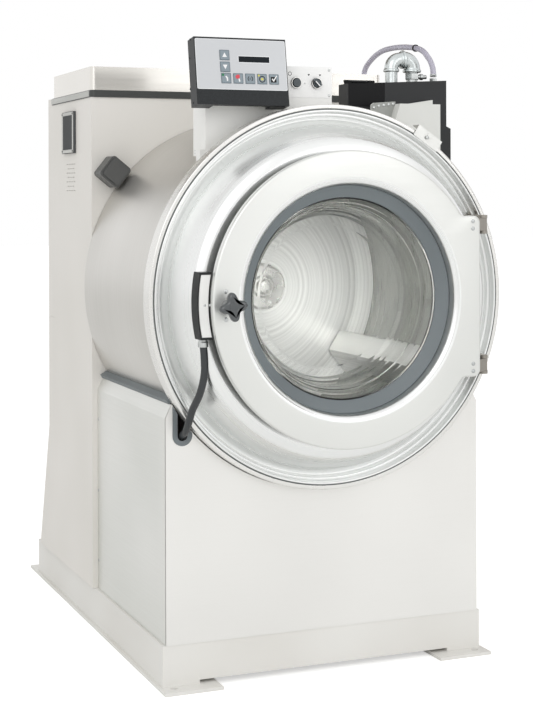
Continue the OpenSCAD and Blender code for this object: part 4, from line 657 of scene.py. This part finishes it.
def breaker():
    """Galvanised vacuum breaker: two malleable elbows with beaded collars on risers, joined by a
    six-sided nipple; each elbow is a quarter of a torus."""
    y, low, mid, bend = 217, 1466, 1509, 25
    turn = np.linspace(0, math.pi / 2, 13)
    group = []
    for k, (x, way, r) in enumerate([(290, 1, 18.5), (352, -1, 22.0)]):
        arc = np.stack([x + way * bend * (1 - np.cos(turn)), np.full(13, float(y)),
                        mid + bend * np.sin(turn)], 1)
        group.append(tube("elbow_%d" % k, "machine", arc, r, IRON, sides=36, across=(0, 1, 0)))
        bead = rounded([(0, -9), (r + 1, -9), (r + 2.8, -7), (r + 2.8, -3), (r + 0.6, -0.5), (r, 2), (0, 2)],
                       [0, 1, 1.5, 1.5, 1, 0, 0], 4)
        group.append(revolve("riser_collar_%d" % k, "machine", bead, IRON, axes=TOP,
                             origin=(x, y, mid), n=48))
        axes = RIGHT * np.array([[1], [1], [way]])
        group.append(revolve("nipple_collar_%d" % k, "machine", bead * [1, -1], IRON, axes=axes,
                             origin=(x + way * (bend - 1), y, mid + bend), n=48))
    group.append(revolve("riser_pipe", "machine", [(0, low), (16.5, low), (16.5, mid), (0, mid)], IRON,
                         axes=TOP, origin=(290, y, 0), n=48, closed=False))
    group.append(revolve("riser_stub", "machine", [(0, low), (15, low), (15, mid), (0, mid)], ZINC,
                         axes=TOP, origin=(352, y, 0), n=48, closed=False))
    nut = rounded([(0, 1481), (19.5, 1481), (19.5, 1498), (0, 1498)], [0, 1.5, 1.5, 0])
    group.append(revolve("riser_hex", "machine", nut, ZINC, axes=TOP, origin=(352, y, 0), n=6))
    nut = rounded([(0, -5), (19, -5), (19, 5), (0, 5)], [0, 1.5, 1.5, 0])
    group.append(revolve("nipple_hex", "machine", nut, ZINC, axes=RIGHT,
                         origin=(319.5, y, mid + bend), n=6))
    group.append(revolve("barb_hex", "machine", [(0, 1478), (11, 1478), (11, 1486), (0, 1486)], ZINC,
                         axes=TOP, origin=(417, y, 0), n=6, closed=False))
    union = rounded([(0, -14), (5, -14), (5, -6), (8.5, -6), (8.5, 3), (5.5, 3), (5.5, 14), (0, 14)],
                    [0, 0.5, 0.5, 1, 1, 0.5, 0.5, 0])
    group.append(revolve("small_union", "machine", union, ZINC, axes=RIGHT, origin=(381, y, 1489), n=12))
    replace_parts(group[0], "vacuum_breaker")


# Drum

def drum():
    """Basket: dished front ring and wall as one closed sheet section, then the coned rear head
    and the hub with its bead."""
    section = rounded(
        [(270, 42), (274, 48.5), (284, 48.5), (380, 2), (385, -6), (385, -520), (381.4, -520),
         (381.4, -6), (378, -1), (284, 45), (273, 42)], [0.5, 4, 4, 8, 6, 1, 1, 5, 7, 3, 0.5], 6)
    # the wall's dark colour is partly painted shade of the basket's inside
    piece = revolve("drum_wall", "basket", section, DRUM_WALL, n=240, slot="stainless_shell")
    rear = rounded([(381, -519.6), (330, -520), (64, -420.3), (0, -420.3), (0, -417), (62, -417),
                    (328, -516.5), (381, -516.5)], [0.5, 20, 8, 0, 0, 10, 18, 0.5], 6)
    revolve("drum_rear_head", "basket", rear, STEEL_DRUM, n=240, slot="stainless_shell")
    hub = rounded([(0, -417), (62, -417), (62, -412), (58.5, -411), (55, -413.5), (30, -412.5), (26, -409),
                   (20, -409), (18, -397), (8, -396), (0, -396)], [0, 0.5, 1.5, 1.5, 2, 3, 2, 3, 2, 1, 0])
    revolve("drum_hub", "basket", hub, STEEL_RING, n=96)
    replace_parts(piece, "drum")


# Controller, column and cabinet details

def mark(name, body, outline, finish, lift=2.0):
    """Flat printed shape on the controller's leaning face, 0.25 mm thick; outline in
    millimetres across and up."""
    prism(name, body, outline, [(0, lift), (0, lift + 0.25)], finish, axes=BOX, origin=BOX_AT)


def circle(x, y, r, n=24):
    """Circle of n sides about (x, y)."""
    a = np.arange(n) * 2 * math.pi / n
    return np.stack([x + r * np.cos(a), y + r * np.sin(a)], 1)


def controller():
    """Pale edge of the overlay, key outlines and their plain signs, rim of the display."""
    rim("overlay_edge", "machine", box_outline(2.4, 37.4, 235.6, 161.6, 4),
        [(0, 0.1), (0, 1.15), (1.3, 1.15), (1.3, 0.1)], OVERLAY_EDGE, axes=BOX, origin=BOX_AT)
    rim("display_rim", "machine", box_outline(110.4, 104.2, 193.6, 121.9, 1),
        [(0, 1.0), (0, 1.2), (1.5, 1.2), (1.5, 1.0)], OVERLAY_EDGE, axes=BOX, origin=BOX_AT)
    keys = {"up": (76, 122), "down": (76, 93), "start": (77, 65), "stop": (108, 65), "signal": (139, 65),
            "manual": (170, 65), "enter": (201, 65)}
    for name, (x, y) in keys.items():
        rim("key_line_" + name, "key_%s_cap" % name, box_outline(x - 12.4, y - 12.4, x + 12.4, y + 12.4, 2.5),
            [(0, 1.9), (0, 2.2), (1.4, 2.2), (1.4, 1.9)], KEY_EDGE, axes=BOX, origin=BOX_AT)
    x, y = keys["up"]
    mark("sign_up", "key_up_cap", [(x - 6, y - 5), (x + 6, y - 5), (x, y + 6)], MARK_WHITE)
    x, y = keys["down"]
    mark("sign_down", "key_down_cap", [(x - 6, y + 5), (x, y - 6), (x + 6, y + 5)], MARK_WHITE)
    x, y = keys["start"]
    mark("dot_start", "key_start_cap", circle(x - 8, y + 8, 3), MARK_GREEN)
    hand = rounded([(-3.5, 5), (0, 5.5), (3.5, 1), (3.5, -7), (0, -7), (0, -1), (-2, 1.5)], 1.0, 3)
    mark("hand_start", "key_start_cap", hand + (x + 1, y), MARK_WHITE)
    x, y = keys["stop"]
    palm = rounded([(-6.5, 0), (-7, 6), (-3, 9), (3.5, 9.5), (4, 2), (-1, -1)], 2.0, 3)
    mark("palm_stop", "key_stop_cap", palm + (x, y), MARK_RED)
    wrist = rounded([(0, -1), (3.5, 0), (5, -8), (1.5, -8)], 0.8, 3)
    mark("wrist_stop", "key_stop_cap", wrist + (x, y), MARK_WHITE)
    x, y = keys["signal"]
    for k, side in enumerate((-1, 1)):
        a = np.linspace(-1.05, 1.05, 9)
        arc = np.concatenate([np.stack([7 * np.cos(a), 7 * np.sin(a)], 1),
                              np.stack([5.2 * np.cos(a[::-1]), 5.2 * np.sin(a[::-1])], 1)])
        mark("arc_signal_%d" % k, "key_signal_cap", arc * side + (x, y), MARK_BLACK)
    drop = rounded([(-2.4, -3), (2.4, -3), (2.4, 3), (-2.4, 3)], 1, 3)
    mark("drop_signal", "key_signal_cap", drop + (x, y), KEY_EDGE)
    x, y = keys["manual"]
    rim("dial_manual", "key_manual_cap", circle(x, y - 0.5, 8.2),
        [(0, 2.0), (0, 2.25), (2.2, 2.25), (2.2, 2.0)], MARK_BLACK, axes=BOX, origin=BOX_AT)
    mark("sun_manual", "key_manual_cap", circle(x, y - 0.5, 3.0), MARK_YELLOW)
    mark("dot_manual", "key_manual_cap", circle(x - 8.4, y + 8.4, 2.4), MARK_YELLOW)
    x, y = keys["enter"]
    mark("square_enter", "key_enter_cap", box_outline(x - 8.5, y - 8, x + 6, y + 6, 0.8), MARK_BLACK)
    tick = [(-6, 0), (-3.6, 2), (-1.4, -1.6), (6.6, 9.6), (8.6, 8.6), (-1.2, -6.4)]
    mark("tick_enter", "key_enter_cap", np.array(tick[::-1]) + (x, y), MARK_WHITE, 2.26)
    for k, (y, z) in enumerate([(36.3, 1547.3), (40, 1502.6), (35.1, 1428.1), (13.1, 1393.2)]):
        screw("box_screw_%d" % k, "machine", (-343, y, z), 2.8, 1.2, MARK_BLACK, LEFT)


def column():
    """Plate screws, plain marks over the selector, rivets on the column's side."""
    for k, (x, z) in enumerate([(30.7, 1484.5), (30.9, 1421.5)]):
        screw("plate_screw_%d" % k, "machine", (x, 50, z), 3.6, 1.6)
    screw("plate_pin", "machine", (-35.6, 50, 1450.2), 2.2, 1.0)
    drop = rounded([(-3.4, 1.8), (0, -3), (3.4, 1.8)], 0.5, 3)
    for k, x in enumerate([-24.9, 5.7]):
        prism("selector_mark_%d" % k, "machine", drop + (x, 1471.8), [(0, -50), (0, -49.75)], MARK_BLACK)
    rim("button_mark", "machine", circle(-76, 1473.5, 5), [(0, -50), (0, -49.75), (1.2, -49.75), (1.2, -50)],
        MARK_BLACK)
    for k, (y, z) in enumerate([(126.1, 1282.8), (126.1, 1276), (62.3, 1281.1), (62.3, 1274.3)]):
        screw("column_rivet_%d" % k, "machine", (-299, y, z), 1.8, 0.8, ZINC, LEFT)
    lever = rounded([(-4, -8.6), (-1.4, -8.6), (-1.4, 8.6), (-4, 8.6)], 0.5, 2)
    turn = math.radians(45)
    lever = lever @ np.array([[math.cos(turn), math.sin(turn)], [-math.sin(turn), math.cos(turn)]])
    prism("selector_line", "selector", lever + (-4, 1451), [(0, -35), (0, -34.7)], MARK_WHITE)
    for name, x in (("button_ring", -60), ("selector_ring", -4)):
        rim(name, "machine", circle(x, 1451, 13.4, 48),
            [(0, -45), (0, -44.4), (1.2, -44.4), (1.2, -45)], STEEL_RING)


def chute():
    """Grey flange plate beside the chute with its row of bolts."""
    plate = [(197.4, 1260), (267.6, 1260), (267.6, 1416.6), (204.2, 1411.6), (197.4, 1406.8)]
    prism("chute_flange", "machine", plate, [(0, -150.1), (0, -149.7)], FLANGE_GREY)
    for k, (x, z) in enumerate([(205, 1400), (219, 1404.2), (233.5, 1406.4), (248, 1408.4), (261, 1410.2)]):
        screw("chute_bolt_%d" % k, "machine", (x, 149.7, z), 4.4, 3.0)


def cabinet_details():
    """Light side strip of the trim, frame of the fan filter, bright folded edge, panel screws."""
    strip = rounded([(-1003, 1442), (-592, 1442), (-592, 1457.5), (-1003, 1457.5)], 0.5, 2)
    prism("trim_side", "machine", strip, [(0, 438.9), (0, 439.6)], ALUMINIUM, axes=LEFT)
    frame_line = box_outline(-861, 1293, -739, 1409, 4)
    rim("filter_frame", "machine", frame_line, [(0, 443.8), (0.6, 445), (9, 445), (9.6, 443.8)],
        ALUMINIUM, axes=LEFT)
    for k, (y, z) in enumerate([(744.5, 1298.5), (855.5, 1298.5), (744.5, 1403.5), (855.5, 1403.5)]):
        screw("filter_screw_%d" % k, "machine", (-445, y, z), 3.0, 1.2, PLAIN_BLACK, LEFT)
    for k, z in enumerate([566, 373, 183]):
        screw("side_screw_%d" % k, "machine", (-421, 568, z), 4.6, 2.0, ZINC, LEFT)


bpy.context.scene.view_settings.view_transform = "Standard"
camera()
head()
ring()
door()
knob()
conduit()
hose()
breaker()
drum()
controller()
column()
chute()
cabinet_details()


# Stage

def facing(place_at, look_at):
    """World matrix of a flat piece at a point, turned to face another."""
    w = np.array(place_at, float) - np.array(look_at, float)
    w /= np.linalg.norm(w)
    u = np.cross((0, 0, 1), w)
    u /= np.linalg.norm(u)
    v = np.cross(w, u)
    return Matrix([[u[i], v[i], w[i], place_at[i]] for i in range(3)] + [[0, 0, 0, 1]])


def lamp(name, kind, place_at, look_at, power, **values):
    """Lamp that faces a point; power in watts."""
    data = bpy.data.lights.new(name, kind)
    data.energy = power
    for key, value in values.items():
        setattr(data, key, value)
    lamp_object = bpy.data.objects.new(name, data)
    lamp_object.matrix_world = facing(place_at, look_at)
    bpy.context.scene.collection.objects.link(lamp_object)
    return lamp_object


def card(name, corners, colour):
    """Studio card that only reflections see: the dim sides of the room in the polished steel."""
    mesh = bpy.data.meshes.new(name)
    mesh.from_pydata(corners, [], [(0, 1, 2, 3)])
    board = bpy.data.objects.new(name, mesh)
    bpy.context.scene.collection.objects.link(board)
    board.visible_camera = board.visible_diffuse = board.visible_shadow = board.visible_transmission = False
    m, tree, shader = material(name, colour, Roughness=1.0, Specular_IOR_Level=0.0)
    tint(tree, shader, surface_noise(tree, 0.6, 1.0), colour, colour)
    mesh.materials.append(m)


def stage():
    """Pale floor and white surroundings for the camera, glossy and transmitted rays; a softer
    world lights the rest, with two large lamps and a narrow one that reaches the drum through
    the window."""
    mesh = bpy.data.meshes.new("floor")
    mesh.from_pydata([(-30, -30, 0), (30, -30, 0), (30, 30, 0), (-30, 30, 0)], [], [(0, 1, 2, 3)])
    floor = bpy.data.objects.new("floor", mesh)
    bpy.context.scene.collection.objects.link(floor)
    m, tree, shader = material("pale_floor", "#f2f2f0", Roughness=0.9)
    path = add(tree, "LightPath")
    seen = add(tree, "Math", {0: path.outputs["Is Glossy Ray"], 1: path.outputs["Is Transmission Ray"]},
               operation="MAXIMUM")
    seen = add(tree, "Math", {0: seen.outputs[0], 1: 0.1}, operation="MULTIPLY")
    seen = add(tree, "Math", {0: path.outputs["Is Camera Ray"], 1: 0.45, 2: seen.outputs[0]},
               operation="MULTIPLY_ADD")
    tint(tree, shader, surface_noise(tree, 0.5, 1.0), "#f1f1ef", "#f4f4f3")
    shader.inputs["Emission Color"].default_value = (1, 1, 1, 1)
    tree.links.new(seen.outputs[0], shader.inputs["Emission Strength"])
    mesh.materials.append(m)
    world = bpy.data.worlds.new("studio")
    bpy.context.scene.world = world
    world.use_nodes = True
    tree = world.node_tree
    back = tree.nodes["Background"]
    path = add(tree, "LightPath")
    seen = add(tree, "Math", {0: path.outputs["Is Camera Ray"], 1: path.outputs["Is Glossy Ray"]},
               operation="MAXIMUM")
    seen = add(tree, "Math", {0: seen.outputs[0], 1: path.outputs["Is Transmission Ray"]},
               operation="MAXIMUM")
    level = add(tree, "MapRange", {0: seen.outputs[0], 3: 0.8, 4: 1.0})
    tree.links.new(level.outputs[0], back.inputs["Strength"])
    back.inputs["Color"].default_value = (1, 1, 1, 1)
    lamp("key", "AREA", (-2.8, -4.8, 3.8), (0, 0, 0.8), 60, shape="SQUARE", size=4.0)
    lamp("fill", "AREA", (2.8, -4.9, 2.6), (0, 0, 0.8), 26, shape="SQUARE", size=3.0)
    beam = lamp("window_beam", "SPOT", (-1.0, -4.4, 1.25), (0, -0.55, 0.923), 760,
                spot_size=math.radians(6.4), spot_blend=0.6, shadow_soft_size=0.15)
    beam.visible_glossy = False
    card("card_high_front",
         [(2.8, -4.2, 1.5), (5.5, -3.4, 1.5), (5.5, -3.4, 3.2), (2.8, -4.2, 3.2)], "#6c635b")
    card("card_behind", [(1.0, 3.0, 0.0), (6.5, 1.6, 0.0), (6.5, 1.6, 1.8), (1.0, 3.0, 1.8)], "#4c4640")
    card("card_warm", [(1.3, 2.0, 1.4), (2.8, 1.8, 1.4), (2.8, 1.8, 2.6), (1.3, 2.0, 2.6)], "#8d5443")
    card("card_over", [(-2.5, 0.4, 3.1), (2.5, 0.4, 3.1), (2.5, 4.0, 3.1), (-2.5, 4.0, 3.1)], "#8d857c")


stage()
